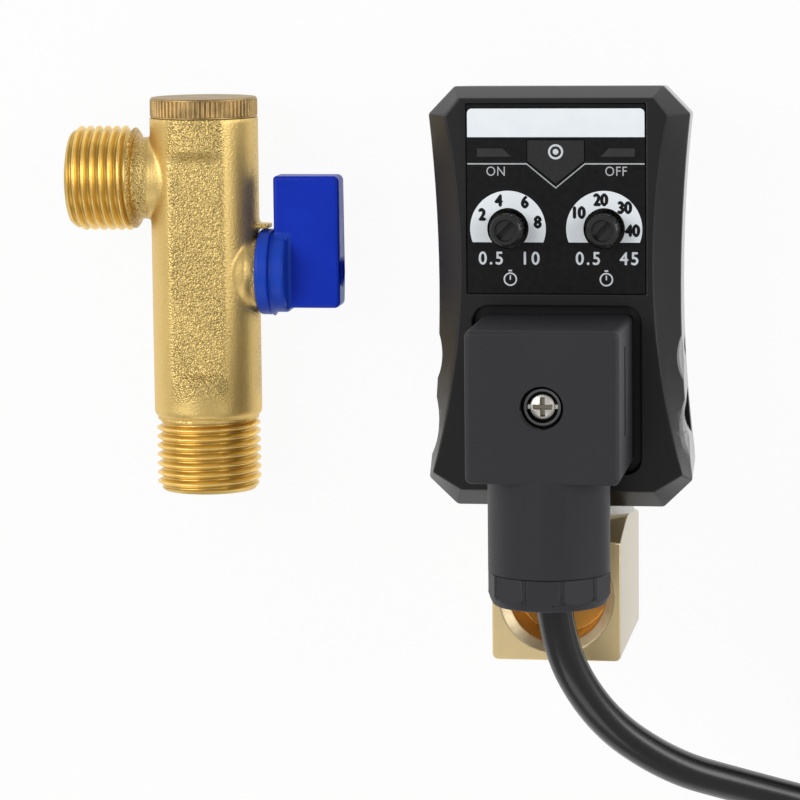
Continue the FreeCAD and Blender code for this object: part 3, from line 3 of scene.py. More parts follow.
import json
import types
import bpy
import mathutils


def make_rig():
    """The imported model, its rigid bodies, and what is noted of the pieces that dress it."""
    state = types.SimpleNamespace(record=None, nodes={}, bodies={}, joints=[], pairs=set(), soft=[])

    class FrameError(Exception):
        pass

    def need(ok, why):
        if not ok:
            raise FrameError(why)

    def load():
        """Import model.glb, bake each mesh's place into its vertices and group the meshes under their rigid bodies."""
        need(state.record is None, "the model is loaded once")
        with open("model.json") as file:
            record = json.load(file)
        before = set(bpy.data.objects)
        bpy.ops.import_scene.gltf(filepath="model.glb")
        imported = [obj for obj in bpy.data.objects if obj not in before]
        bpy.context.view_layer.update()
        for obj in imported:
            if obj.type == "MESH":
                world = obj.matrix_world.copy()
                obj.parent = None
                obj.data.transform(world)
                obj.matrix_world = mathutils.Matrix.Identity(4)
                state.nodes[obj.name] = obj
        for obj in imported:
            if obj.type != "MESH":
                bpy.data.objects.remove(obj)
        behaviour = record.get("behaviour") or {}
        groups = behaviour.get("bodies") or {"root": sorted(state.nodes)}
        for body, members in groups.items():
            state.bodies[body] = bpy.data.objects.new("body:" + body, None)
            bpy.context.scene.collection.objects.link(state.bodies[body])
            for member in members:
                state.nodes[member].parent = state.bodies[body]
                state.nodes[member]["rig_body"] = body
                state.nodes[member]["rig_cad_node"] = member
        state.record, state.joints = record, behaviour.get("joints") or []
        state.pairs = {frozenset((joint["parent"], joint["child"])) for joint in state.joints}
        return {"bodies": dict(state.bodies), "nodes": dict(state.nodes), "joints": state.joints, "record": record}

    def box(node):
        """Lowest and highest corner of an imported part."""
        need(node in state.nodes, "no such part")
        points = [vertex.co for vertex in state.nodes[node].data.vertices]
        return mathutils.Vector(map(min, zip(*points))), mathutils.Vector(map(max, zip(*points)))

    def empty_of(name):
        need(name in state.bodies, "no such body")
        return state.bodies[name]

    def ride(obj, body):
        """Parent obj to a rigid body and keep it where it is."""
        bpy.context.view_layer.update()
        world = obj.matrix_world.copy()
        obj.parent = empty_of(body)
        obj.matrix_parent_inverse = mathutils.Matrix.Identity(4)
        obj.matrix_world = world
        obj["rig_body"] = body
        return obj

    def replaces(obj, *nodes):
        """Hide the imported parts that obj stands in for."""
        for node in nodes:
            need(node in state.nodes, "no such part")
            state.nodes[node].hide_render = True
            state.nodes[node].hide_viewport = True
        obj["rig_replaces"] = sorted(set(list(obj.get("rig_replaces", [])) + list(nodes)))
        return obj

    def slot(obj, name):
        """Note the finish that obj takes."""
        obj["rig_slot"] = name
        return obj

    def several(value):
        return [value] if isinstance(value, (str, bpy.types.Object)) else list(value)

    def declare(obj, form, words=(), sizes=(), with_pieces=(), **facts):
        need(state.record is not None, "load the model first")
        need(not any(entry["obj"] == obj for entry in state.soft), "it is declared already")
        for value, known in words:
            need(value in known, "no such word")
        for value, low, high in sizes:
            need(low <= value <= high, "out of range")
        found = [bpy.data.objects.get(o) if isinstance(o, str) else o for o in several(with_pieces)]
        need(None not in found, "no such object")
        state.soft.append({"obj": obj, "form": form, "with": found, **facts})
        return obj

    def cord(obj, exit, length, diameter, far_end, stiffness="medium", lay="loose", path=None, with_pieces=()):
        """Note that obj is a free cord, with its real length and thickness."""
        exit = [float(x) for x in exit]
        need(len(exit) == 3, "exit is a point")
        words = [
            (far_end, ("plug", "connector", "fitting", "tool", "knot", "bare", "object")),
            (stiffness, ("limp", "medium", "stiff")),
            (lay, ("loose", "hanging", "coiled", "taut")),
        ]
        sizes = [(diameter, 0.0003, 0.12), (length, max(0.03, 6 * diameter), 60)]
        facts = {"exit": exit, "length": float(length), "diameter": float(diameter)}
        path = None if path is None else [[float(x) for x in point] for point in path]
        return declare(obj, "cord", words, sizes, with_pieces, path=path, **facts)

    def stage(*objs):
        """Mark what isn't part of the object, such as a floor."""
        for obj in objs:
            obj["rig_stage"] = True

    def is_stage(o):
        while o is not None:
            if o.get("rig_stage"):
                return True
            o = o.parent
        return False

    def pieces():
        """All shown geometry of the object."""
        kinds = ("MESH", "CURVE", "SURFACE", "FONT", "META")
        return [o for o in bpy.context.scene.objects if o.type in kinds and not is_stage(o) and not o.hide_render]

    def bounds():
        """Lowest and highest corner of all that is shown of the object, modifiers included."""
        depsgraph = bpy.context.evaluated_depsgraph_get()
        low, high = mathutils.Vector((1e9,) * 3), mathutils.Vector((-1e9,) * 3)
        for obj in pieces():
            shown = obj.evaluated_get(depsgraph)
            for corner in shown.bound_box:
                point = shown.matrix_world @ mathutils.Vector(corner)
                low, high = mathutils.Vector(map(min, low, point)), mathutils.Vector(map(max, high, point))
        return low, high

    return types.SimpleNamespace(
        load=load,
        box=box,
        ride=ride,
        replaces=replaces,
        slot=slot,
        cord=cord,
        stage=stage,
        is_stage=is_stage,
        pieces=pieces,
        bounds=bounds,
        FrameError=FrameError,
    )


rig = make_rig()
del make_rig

bl_info = {
    "name": "Timed drain valve set",
    "version": (1, 0, 0),
    "blender": (4, 5, 0),
    "location": "View3D > Sidebar > Drain valve",
    "description": "Makes the detailed pieces and finishes of a timed drain valve and its strainer valve",
    "category": "Add Mesh",
}

import json
import math
import sys

import bmesh
import bpy
from bpy.props import FloatProperty, FloatVectorProperty, IntProperty, PointerProperty
from mathutils import Matrix, Vector

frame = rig.load()
CAD_BOX = [list(corner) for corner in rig.bounds()]
MM = 0.001

# Places on the set, in millimetres: the strainer valve's axis as X and Z, its branch and the ends of its flats as Y,
# its lever's hub as Y and Z, the label's face as Z and the two dials as X and Y.
STRAINER = (-73.6, 10.85)
INLET_RISE = 78.7
FLAT = (38.3, 84.8)
HUB = (59.9, 10.85)
LABEL_TOP = 36.8
DIALS = {"on": (-9.25, 71.0), "off": (9.25, 71.0)}


# ---------------------------------------------------------------- sizes and colours


def size(name, description, default):
    """A length in millimetres."""
    return FloatProperty(name=name, description=description, default=default, min=0.0, max=500.0)


def tone(name, description, default):
    """A colour of one finish."""
    return FloatVectorProperty(name=name, description=description, default=default, subtype="COLOR",
                               size=3, min=0.0, max=1.0)


class ValveSizes(bpy.types.PropertyGroup):
    """Sizes of the pieces that the scene makes, in millimetres."""

    edge: size("Moulded edge", "Round on the edges of moulded pieces", 0.35)
    soft_edge: size("Lever edge", "Round on the edges of the lever", 0.7)
    metal_edge: size("Metal edge", "Round on the edges of machined brass", 0.25)
    pitch: size("Thread pitch", "Pitch of the pipe threads", 1.814)
    depth: size("Thread depth", "Depth of the pipe threads", 1.162)
    print_height: size("Print height", "How far the prints stand on the label", 0.03)
    numeral: size("Numeral height", "Height of the numerals on the dials", 2.0)
    knob_ribs: IntProperty(name="Knob ribs", description="Ribs round each dial knob", default=40)
    knurls: IntProperty(name="Knurls", description="Ribs round the strainer cap", default=68)
    grip_depth: size("Grip depth", "Depth of the finger grips in the cover", 0.65)
    grain: size("Casting grain", "Size of the cells from which the casting's skin is made", 0.32)
    softness: IntProperty(name="Casting softness", description="Passes that round the casting's edges", default=6)
    cap_drop: size("Cap joint rise", "How far the casting's rim is drawn up round the cap", 1.2)
    cord: size("Lead diameter", "Diameter of the lead", 7.0)


class ValveTones(bpy.types.PropertyGroup):
    """Colours of the finishes."""

    cast: tone("Cast brass", "Blasted skin of the strainer casting", (0.86, 0.62, 0.23))
    cut: tone("Cut brass", "Machined brass of the threads", (0.93, 0.66, 0.22))
    cap: tone("Cap brass", "Tarnished brass of the knurled cap", (0.54, 0.37, 0.16))
    block: tone("Block brass", "Drawn brass of the valve block", (1.0, 0.79, 0.43))
    lever: tone("Lever blue", "Moulded plastic of the lever", (0.002, 0.032, 0.52))
    case: tone("Case black", "Moulded plastic of the housing", (0.0078, 0.0078, 0.0080))
    socket: tone("Connector grey", "Glass filled plastic of the connector", (0.020, 0.020, 0.0235))
    cord: tone("Lead black", "Sheath of the lead", (0.006, 0.006, 0.0065))
    white: tone("Print white", "White of the label's prints", (0.90, 0.95, 1.0))


class ValveStage(bpy.types.PropertyGroup):
    """Light and floor of the studio."""

    key: FloatProperty(name="Key", description="Power of the large lamp", default=5.4, min=0, unit="POWER")
    fill: FloatProperty(name="Fill", description="Power of the lamp on the right", default=4.2, min=0, unit="POWER")
    sky: FloatProperty(name="Sky", description="Strength of the even light", default=0.42, min=0)


def sizes():
    return bpy.context.scene.valve_sizes


def tones():
    return bpy.context.scene.valve_tones


# ---------------------------------------------------------------- shader arithmetic


class Wire:
    """An output socket on which Python arithmetic works: each operator adds its Math node."""

    def __init__(self, maker, socket):
        self.maker, self.socket = maker, socket

    def math(self, operation, *values):
        return self.maker.node("ShaderNodeMath", {"operation": operation}, dict(enumerate(values)))[0]

    def __add__(self, other):
        return self.math("ADD", self, other)

    def __radd__(self, other):
        return self.math("ADD", other, self)

    def __sub__(self, other):
        return self.math("SUBTRACT", self, other)

    def __rsub__(self, other):
        return self.math("SUBTRACT", other, self)

    def __mul__(self, other):
        return self.math("MULTIPLY", self, other)

    def __rmul__(self, other):
        return self.math("MULTIPLY", other, self)

    def __pow__(self, other):
        return self.math("POWER", self, other)

    def above(self, low, high):
        """Rises from 0 to 1 between two values."""
        return self.maker.node("ShaderNodeMapRange", {"interpolation_type": "SMOOTHSTEP"},
                               {"Value": self, "From Min": low, "From Max": high})[0]


class Step:
    """A node whose outputs are read by number or name."""

    def __init__(self, maker, node):
        self.maker, self.made = maker, node

    def __getitem__(self, key):
        return Wire(self.maker, self.made.outputs[key])


class Nodes:
    """A node tree, with the one method that adds a node to it."""

    def __init__(self, tree):
        self.tree = tree

    def node(self, kind, settings, values):
        """Adds a node: its settings come first, then the values or wires of its sockets."""
        made = self.tree.nodes.new(kind)
        for key, value in settings.items():
            setattr(made, key, value)
        for key, value in values.items():
            self.give(made.inputs[key], value)
        return Step(self, made)

    def give(self, socket, value):
        if isinstance(value, Wire):
            self.tree.links.new(value.socket, socket)
        elif socket.type == "RGBA" and len(value) == 3:
            socket.default_value = (*value, 1.0)
        else:
            socket.default_value = value


class Finish(Nodes):
    """A material with one Principled shader, and the nodes that vary it over the surface."""

    SOCKETS = {"colour": "Base Color", "rough": "Roughness", "metal": "Metallic", "coat": "Coat Weight",
               "coat_rough": "Coat Roughness", "shine": "Specular IOR Level", "normal": "Normal"}

    def __init__(self, name):
        self.material = bpy.data.materials.new(name)
        self.material.use_nodes = True
        super().__init__(self.material.node_tree)
        self.shader = self.tree.nodes["Principled BSDF"]
        self.place = self.node("ShaderNodeTexCoord", {}, {})["Object"]

    def set(self, **values):
        for key, value in values.items():
            self.give(self.shader.inputs[self.SOCKETS[key]], value)
        return self

    def mapped(self, scale):
        return self.node("ShaderNodeMapping", {}, {"Vector": self.place, "Scale": scale})[0]

    def noise(self, scale, detail=3.0, rough=0.5, at=None):
        return self.node("ShaderNodeTexNoise", {}, {"Vector": at or self.place, "Scale": scale,
                                                    "Detail": detail, "Roughness": rough})["Fac"]

    def cells(self, scale):
        return self.node("ShaderNodeTexVoronoi", {}, {"Vector": self.place, "Scale": scale})["Distance"]

    def bands(self, scale):
        return self.node("ShaderNodeTexWave", {"bands_direction": "Y"}, {"Vector": self.place, "Scale": scale})["Fac"]

    def mix(self, factor, low, high):
        return self.node("ShaderNodeMix", {"data_type": "RGBA"}, {0: factor, 6: low, 7: high})[2]

    def bump(self, height, strength, depth):
        return self.node("ShaderNodeBump", {}, {"Height": height, "Strength": strength, "Distance": depth})[0]

    def axes(self):
        """The point's X, Y and Z in metres."""
        parts = self.node("ShaderNodeSeparateXYZ", {}, {0: self.place})
        return [parts[at] for at in range(3)]


def from_axis(first, second, centre):
    """Distance in metres from an axis that passes through centre, over the two given coordinates."""
    a, b = first - centre[0], second - centre[1]
    return (a * a + b * b) ** 0.5


def shade(colour, factor):
    return tuple(min(1.0, channel * factor) for channel in colour)


FINISHES = {}


def finish(name):
    """The named finish, made once."""
    if name not in FINISHES:
        made = plain(*PLAIN[name]) if name in PLAIN else globals()["make_" + name]()
        FINISHES[name] = made.material
    return FINISHES[name]


# Finishes whose colour, roughness and relief follow one noise: their title, the noise's scale and detail, its dark
# and light colour, the roughness and its spread, the relief's strength and depth, and what else they set.
PLAIN = {
    "print_grey": ("Pale print", (900, 2), (0.40, 0.41, 0.42), (0.56, 0.57, 0.58), (0.45, 0.05)),
    "print_black": ("Black print", (900, 2), (0.006, 0.006, 0.007), (0.010, 0.010, 0.011), (0.55, 0.05), None,
                    {"shine": 0.15}),
    "window_smoke": ("Smoked window", (400, 2), (0.024, 0.024, 0.026), (0.034, 0.034, 0.037), (0.22, 0.06)),
    "dial_black": ("Knob plastic", (1500, 2), (0.010, 0.010, 0.0105), (0.02, 0.02, 0.021), (0.28, 0.1),
                   (0.12, 0.00004)),
    "seal_rubber": ("Seal rubber", (1400, 3), (0.008, 0.008, 0.008), (0.018, 0.018, 0.018), (0.6, 0.15),
                    (0.2, 0.00006)),
    "seat_white": ("Ball ring plastic", (600, 3), (0.72, 0.71, 0.67), (0.86, 0.85, 0.82), (0.42, 0.1),
                   (0.08, 0.00005)),
    "bobbin_white": ("Bobbin plastic", (700, 3), (0.52, 0.50, 0.44), (0.66, 0.64, 0.58), (0.46, 0.1),
                     (0.1, 0.00005)),
    "contact_tin": ("Tinned contact", (420, 3), (0.58, 0.57, 0.54), (0.78, 0.77, 0.73), (0.22, 0.14),
                    (0.08, 0.00004), {"metal": 1.0}),
    "led_red": ("Red lens", (500, 2), (0.24, 0.012, 0.010), (0.40, 0.03, 0.02), (0.12, 0.06), None,
                {"coat": 0.4, "coat_rough": 0.08}),
    "led_green": ("Green lens", (500, 2), (0.02, 0.20, 0.04), (0.04, 0.34, 0.07), (0.12, 0.06), None,
                  {"coat": 0.4, "coat_rough": 0.08}),
}


def plain(title, noise, dark, light, rough, relief=None, more=None):
    """A finish that varies with one noise."""
    f = Finish(title)
    skin = f.noise(*noise)
    f.set(colour=f.mix(skin, dark, light), rough=rough[0] + rough[1] * skin, **(more or {}))
    return f.set(normal=f.bump(skin, *relief)) if relief else f


def make_cast_brass():
    """Grained on the flats and the branch, with painted shade in the grain's pits; smoother on the flanks between them
    and on the foot, where the colour is painted lighter, on the flanks as a painted sheen.
    """
    f, c = Finish("Blasted cast brass"), tones().cast
    x, y = f.axes()[:2]
    side = x - STRAINER[0] * MM
    away = (side * side) ** 0.5
    flanks = away.above(0.0047, 0.0062) * (1.0 - away.above(0.0100, 0.0112))
    # smooth marks the flanks and the foot: they get less relief, and a lighter colour that is a painted sheen on the
    # flanks.
    smooth = 1.0 - (1.0 - flanks) * y.above(0.0335, 0.0375)
    grain = f.noise(3300, 1.0, 0.5)
    pits = f.cells(2400)
    cloud = f.noise(90, 3)
    # Painted shade: the grain's pits, where the relief is low, are painted darker.
    speck = (grain * 0.6 + pits * 0.55).above(0.36, 0.66)
    colour = f.mix(speck, shade(c, 0.34), shade(c, 0.86))
    # The flanks and the foot are painted lighter, without the painted pit shade: on the flanks a painted sheen.
    colour = f.mix(smooth * 0.85, colour, shade(c, 1.0))
    colour = f.mix(cloud.above(0.35, 0.7) * 0.3, colour, shade(c, 1.1))
    rough = 0.27 + 0.14 * grain + 0.05 * cloud + 0.09 * smooth
    return f.set(colour=colour, metal=1.0, rough=rough,
                 normal=f.bump((grain * 0.8 + pits * 0.6) * (1.0 - 0.82 * smooth), 0.95, 0.00024))


def thread_finish(name, first, second, centre):
    """Turned brass, with painted shade in the roots of a thread and a painted highlight on its crests."""
    f, c = Finish(name), tones().cut
    parts = dict(zip("xyz", f.axes()))
    crest = from_axis(parts[first], parts[second], [value * MM for value in centre]).above(0.0093, 0.0104)
    stain = f.noise(260, 3, 0.6)
    lines = f.noise(1400, 2)
    # Painted shade in the roots and a painted highlight on the crests.
    colour = f.mix(crest, shade(c, 0.80), shade(c, 1.08))
    colour = f.mix(stain.above(0.45, 0.75) * 0.35, colour, shade(c, 0.6))
    return f.set(colour=colour, metal=1.0, rough=0.28 + 0.14 * stain + 0.05 * lines,
                 normal=f.bump(lines, 0.1, 0.00004))


def make_outlet_brass():
    return thread_finish("Outlet thread brass", "x", "z", STRAINER)


def make_inlet_brass():
    return thread_finish("Inlet thread brass", "y", "z", (INLET_RISE, STRAINER[1]))


def make_cut_brass():
    f, c = Finish("Turned brass"), tones().cut
    lines = f.noise(500, 4, 0.7, f.mapped((1, 9, 1)))
    stain = f.noise(240, 3)
    return f.set(colour=f.mix(stain.above(0.3, 0.75), shade(c, 0.8), shade(c, 1.1)), metal=1.0,
                 rough=0.17 + 0.16 * stain, normal=f.bump(lines, 0.12, 0.00004))


def make_cap_brass():
    """Stained all over, with painted shade on its end face."""
    f, c = Finish("Tarnished brass"), tones().cap
    stain = f.noise(160, 5, 0.65)
    spots = f.cells(420)
    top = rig.box("strainer_cap")[1].y
    end = f.axes()[1].above(top - 0.0003, top - 0.00005)
    colour = f.mix(stain.above(0.3, 0.7), shade(c, 0.62), shade(c, 1.3))
    # Painted shade: the end face is darkened to half.
    return f.set(colour=f.mix(end * 0.5, colour, shade(c, 0.5)), metal=1.0, rough=0.34 + 0.2 * stain,
                 normal=f.bump(spots, 0.15, 0.00005))


def make_block_brass():
    """Drawn bar whose turned mouth is painted paler, for its turned finish and a painted highlight, whose bore has
    painted shade in a deeper gold, and whose right face is painted greyer as a painted sheen.
    """
    f, c = Finish("Drawn block brass"), tones().block
    x, y = f.axes()[:2]
    drawn = f.noise(60, 5, 0.7, f.mapped((14, 1, 30)))
    stain = f.noise(90, 4, 0.6)
    radius = from_axis(x, y, (0.0, 0.0))
    mouth = 1.0 - radius.above(0.0109, 0.0113)
    bore = 1.0 - radius.above(0.0093, 0.0096)
    rings = f.noise(2600, 2, 0.6, f.node("ShaderNodeCombineXYZ", {}, {0: radius})[0])
    colour = f.mix(stain.above(0.4, 0.7) * 0.35, c, shade(c, 0.8))
    # Painted sheen: the right face is painted greyer.
    colour = f.mix(x.above(0.01225, 0.0124), colour, (0.70, 0.64, 0.53))
    # The turned mouth is painted paler: its turned finish and a painted highlight.
    colour = f.mix(mouth, colour, (1.0, 0.84, 0.55))
    # Painted shade: the bore is painted a deeper, darker gold.
    colour = f.mix(bore, colour, (0.80, 0.47, 0.13))
    return f.set(colour=colour, metal=1.0, rough=0.36 + 0.12 * drawn + 0.08 * stain,
                 normal=f.bump(drawn * (1.0 - mouth) + rings * mouth * 1.6, 0.3, 0.00007))


def make_lever_blue():
    """With painted light on the part of its hub next to the casting, which is painted a lighter blue."""
    f, c = Finish("Lever plastic"), tones().lever
    skin = f.noise(160, 3)
    dust = f.cells(700)
    x, y, z = f.axes()
    hub = [place * MM for place in HUB]
    pale = (1.0 - x.above(-0.0562, -0.0552)) * (1.0 - from_axis(y, z, hub).above(0.0086, 0.0090))
    # Painted light: the hub's skirt next to the casting is painted a lighter blue.
    colour = f.mix(pale * 0.55, f.mix(skin, shade(c, 0.88), shade(c, 1.12)), (0.02, 0.085, 0.50))
    return f.set(colour=colour, rough=0.3 + 0.1 * skin, shine=0.18, normal=f.bump(skin + dust * 0.15, 0.08, 0.0001))


def make_case_black():
    """Glossier on the side walls, below the front's edge."""
    f, c = Finish("Housing plastic"), tones().case
    skin = f.noise(2600, 2, 0.6)
    cloud = f.noise(45, 3)
    wall = 1.0 - f.axes()[2].above(0.0296, 0.0304)
    return f.set(colour=f.mix(cloud, shade(c, 0.85), shade(c, 1.2)),
                 rough=0.28 + 0.08 * skin + 0.04 * cloud - 0.18 * wall, shine=0.42,
                 normal=f.bump(skin, 0.10, 0.00003))


def make_connector_grey():
    f, c = Finish("Connector plastic"), tones().socket
    skin = f.noise(3000, 2, 0.6)
    cloud = f.noise(60, 3)
    return f.set(colour=f.mix(cloud, shade(c, 0.88), shade(c, 1.14)), rough=0.46 + 0.1 * skin + 0.05 * cloud,
                 shine=0.42, normal=f.bump(skin, 0.22, 0.00005))


def make_label_black():
    f = Finish("Label film")
    skin = f.noise(900, 3)
    return f.set(colour=f.mix(skin.above(0.3, 0.7), (0.0055, 0.0055, 0.006), (0.009, 0.009, 0.0098)),
                 rough=0.3 + 0.06 * skin, shine=0.2, normal=f.bump(skin, 0.05, 0.00003))


def make_print_white():
    f, c = Finish("White print"), tones().white
    ink = f.noise(220, 3)
    return f.set(colour=f.mix(ink.above(0.25, 0.8), shade(c, 0.98), shade(c, 1.03)), rough=0.42 + 0.08 * ink,
                 normal=f.bump(ink, 0.04, 0.00003))


def make_print_pale():
    f, c = Finish("Pale white print"), tones().white
    ink = f.noise(900, 2)
    return f.set(colour=f.mix(ink, shade(c, 0.62), shade(c, 0.9)), rough=0.45 + 0.05 * ink)


def make_cable_black():
    f, c = Finish("Lead sheath"), tones().cord
    skin = f.noise(1200, 2)
    wave = f.noise(120, 2)
    return f.set(colour=f.mix(wave, shade(c, 0.8), shade(c, 1.4)), rough=0.2 + 0.1 * skin, coat=0.2, coat_rough=0.2,
                 normal=f.bump(skin + wave, 0.1, 0.00006))


def make_plated_steel():
    f = Finish("Nickel plate")
    drawn = f.noise(500, 4, 0.7, f.mapped((1, 1, 6)))
    stain = f.noise(140, 3)
    return f.set(colour=f.mix(stain, (0.62, 0.61, 0.58), (0.80, 0.79, 0.76)), metal=1.0, rough=0.18 + 0.14 * stain,
                 normal=f.bump(drawn, 0.1, 0.00003))


def make_bright_nickel():
    """Painted shade in the cross recess."""
    f = Finish("Bright nickel")
    stain = f.noise(700, 3)
    x, y, z = f.axes()
    low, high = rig.box("connector_screw")
    deep = 1.0 - z.above(high.z - 0.00075, high.z - 0.00055)
    inside = 1.0 - from_axis(x, y, (0.0, (low.y + high.y) / 2)).above(0.0019, 0.0021)
    colour = f.mix(stain, (0.84, 0.80, 0.72), (0.98, 0.96, 0.90))
    # Painted shade: the floor of the cross recess is darkened.
    return f.set(colour=f.mix(deep * inside * 0.8, colour, (0.16, 0.13, 0.08)), metal=1.0, rough=0.3 + 0.12 * stain,
                 normal=f.bump(stain, 0.1, 0.00003))


def make_cup_grey():
    """Grey at its rim, with painted shade below it: the rest is painted black."""
    f = Finish("Blackened cup")
    skin = f.noise(500, 3)
    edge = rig.box("screw_cup")[1].z
    rim = f.axes()[2].above(edge - 0.0005, edge - 0.0001)
    grey = f.mix(skin, (0.13, 0.13, 0.13), (0.21, 0.21, 0.21))
    # Painted shade: all of the cup below its rim is painted black.
    return f.set(colour=f.mix(rim, (0.006, 0.006, 0.006), grey), metal=0.8, rough=0.3 + 0.1 * skin,
                 normal=f.bump(skin, 0.1, 0.00003))


def make_steel():
    f = Finish("Stainless steel")
    drawn = f.noise(300, 4, 0.7, f.mapped((1, 8, 1)))
    return f.set(colour=f.mix(drawn, (0.50, 0.50, 0.50), (0.68, 0.68, 0.67)), metal=1.0, rough=0.22 + 0.12 * drawn,
                 normal=f.bump(drawn, 0.1, 0.00003))


def make_mesh_steel():
    f = Finish("Woven screen steel")
    weave = f.bands(700.0)
    # Painted shade: darker where the weave is low, between its wires.
    return f.set(colour=f.mix(weave, (0.18, 0.18, 0.18), (0.66, 0.66, 0.64)), metal=1.0, rough=0.3 + 0.15 * weave,
                 normal=f.bump(weave, 0.5, 0.0001))


def make_copper():
    f = Finish("Enamelled winding")
    wires = f.bands(320.0)
    # Painted shade: darker in the grooves between the wires.
    return f.set(colour=f.mix(wires, (0.30, 0.10, 0.03), (0.75, 0.30, 0.12)), metal=0.8, rough=0.28 + 0.1 * wires,
                 normal=f.bump(wires, 0.6, 0.0002))


def make_board_green():
    f = Finish("Board laminate")
    glass = f.noise(900, 2)
    tracks = f.cells(180).above(0.0022, 0.0030)
    return f.set(colour=f.mix(glass, (0.010, 0.10, 0.035), (0.016, 0.15, 0.05)), rough=0.34 + 0.1 * glass,
                 normal=f.bump(glass + tracks, 0.08, 0.00004))


CAD_FINISHES = {
    "cast_brass": ("strainer_body",),
    "cut_brass": ("stem", "seat_retainer"),
    "cap_brass": ("strainer_cap",),
    "block_brass": ("valve_block",),
    "lever_blue": ("handle",),
    "case_black": ("front_cover", "rear_case"),
    "connector_grey": ("connector_cap", "gland_nut", "terminal_block", "pin_base"),
    "label_black": ("label_film",),
    "window_smoke": ("off_window", "on_window"),
    "dial_black": ("test_key", "on_time_knob", "off_time_knob"),
    "cable_black": ("lead", "lead_coil", "lead_tail", "mains_plug", "lead_tie"),
    "cup_grey": ("screw_cup",),
    "plated_steel": ("guide_tube", "connector_screw", "handle_screw", "ball", "coil_nut"),
    "steel": ("fixed_core", "plunger", "plunger_spring", "coil_yoke", "coil_washer", "gland_washer", "case_screws"),
    "mesh_steel": ("screen_tube",),
    "copper": ("coil_winding",),
    "seal_rubber": ("flange_seal", "plunger_seal", "connector_gasket", "gland_grommet", "cap_seal"),
    "seat_white": ("seat_lower", "seat_upper", "stem_packing"),
    "bobbin_white": ("coil_bobbin", "test_switch", "on_time_trimmer", "off_time_trimmer"),
    "board_green": ("circuit_board",),
    "contact_tin": ("contact_blades", "mains_pins"),
    "led_red": ("off_led",),
    "led_green": ("on_led",),
}


# ---------------------------------------------------------------- meshes


# Points closer than this are one, in metres: in a shape made here, and in a CAD node's loose triangles.
WELD = 1e-7
CAD_WELD = 2e-6


def link(obj):
    bpy.context.scene.collection.objects.link(obj)
    return obj


def solid(name, verts, faces, material, angle):
    """A closed mesh object with its normals outward, smooth up to the given angle."""
    shape = bmesh.new()
    for point in verts:
        shape.verts.new(point)
    shape.verts.ensure_lookup_table()
    for face in faces:
        shape.faces.new([shape.verts[i] for i in face])
    bmesh.ops.remove_doubles(shape, verts=shape.verts, dist=WELD)
    bmesh.ops.recalc_face_normals(shape, faces=shape.faces)
    return from_shape(name, shape, material, angle)


def from_shape(name, shape, material, angle=35.0):
    mesh = bpy.data.meshes.new(name)
    shape.to_mesh(mesh)
    shape.free()
    return dressed(link(bpy.data.objects.new(name, mesh)), material, angle)


def dressed(obj, material, angle):
    """Gives an object one material and smooth shading up to the given angle."""
    obj.data.materials.clear()
    obj.data.materials.append(finish(material))
    obj.data.shade_smooth()
    obj.data.set_sharp_from_angle(angle=math.radians(angle))
    return obj


def loops(name, rings, material, angle, ends=True):
    """Skins a row of rings that have equal counts of points, and closes both ends."""
    count = len(rings[0])
    verts = [point for ring in rings for point in ring]
    faces = []
    for row in range(len(rings) - 1):
        for at in range(count):
            other = (at + 1) % count
            faces.append((row * count + at, row * count + other, (row + 1) * count + other, (row + 1) * count + at))
    if ends:
        faces.append(tuple(range(count - 1, -1, -1)))
        faces.append(tuple(range((len(rings) - 1) * count, len(rings) * count)))
    return solid(name, verts, faces, material, angle)


def axis_frame(origin, direction):
    """Places a local +Z along a direction at a point."""
    return Matrix.Translation(origin) @ Vector(direction).to_track_quat("Z", "Y").to_matrix().to_4x4()


def turned(name, profile, origin, direction, material, count, angle=35.0):
    """Turns a closed profile of (radius, height) pairs, in millimetres, round an axis."""
    place = axis_frame(Vector(origin) * MM, direction)
    rings = []
    for radius, height in profile:
        rings.append([place @ Vector((radius * MM * math.cos(2 * math.pi * i / count),
                                      radius * MM * math.sin(2 * math.pi * i / count), height * MM))
                      for i in range(count)])
    return loops(name, rings + rings[:1], material, angle, ends=False)


def cad_copy(node, name, material, width, angle=30.0, segments=2, skip=None):
    """A copy of a CAD node's mesh, with its doubles merged and its sharp edges rounded.

    Without a width it only merges the flat faces that lie square to the axes, and leaves those to skip alone.
    """
    shape = bmesh.new()
    shape.from_mesh(frame["nodes"][node].data)
    bmesh.ops.remove_doubles(shape, verts=shape.verts, dist=CAD_WELD)
    limit = math.radians(0.6)
    if not width:
        square = [edge for edge in shape.edges if not skip(middle(edge))
                  and all(max(abs(value) for value in face.normal) > 0.9999 for face in edge.link_faces)]
        bmesh.ops.dissolve_limit(shape, angle_limit=limit, verts=[], edges=square)
        return evened(from_shape(name, shape, material, angle))
    bmesh.ops.dissolve_limit(shape, angle_limit=limit, verts=shape.verts, edges=shape.edges)
    return rounded(from_shape(name, shape, material), width, angle, segments, skip)


def middle(edge):
    """An edge's middle in millimetres."""
    return (edge.verts[0].co + edge.verts[1].co) / (2 * MM)


def rounded(obj, width, angle, segments, skip=None):
    """Rounds the edges that are sharper than the angle, by a width in millimetres, apart from those to skip."""
    shape = bmesh.new()
    shape.from_mesh(obj.data)
    weight = shape.edges.layers.float.new("bevel_weight_edge")
    for edge in shape.edges:
        sharp = edge.calc_face_angle(0.0) > math.radians(angle)
        edge[weight] = float(sharp and not (skip and skip(middle(edge))))
    shape.to_mesh(obj.data)
    shape.free()
    rounding = obj.modifiers.new("Edges", "BEVEL")
    rounding.width, rounding.segments = width * MM, segments
    rounding.limit_method = "WEIGHT"
    rounding.use_clamp_overlap = False
    return evened(obj)


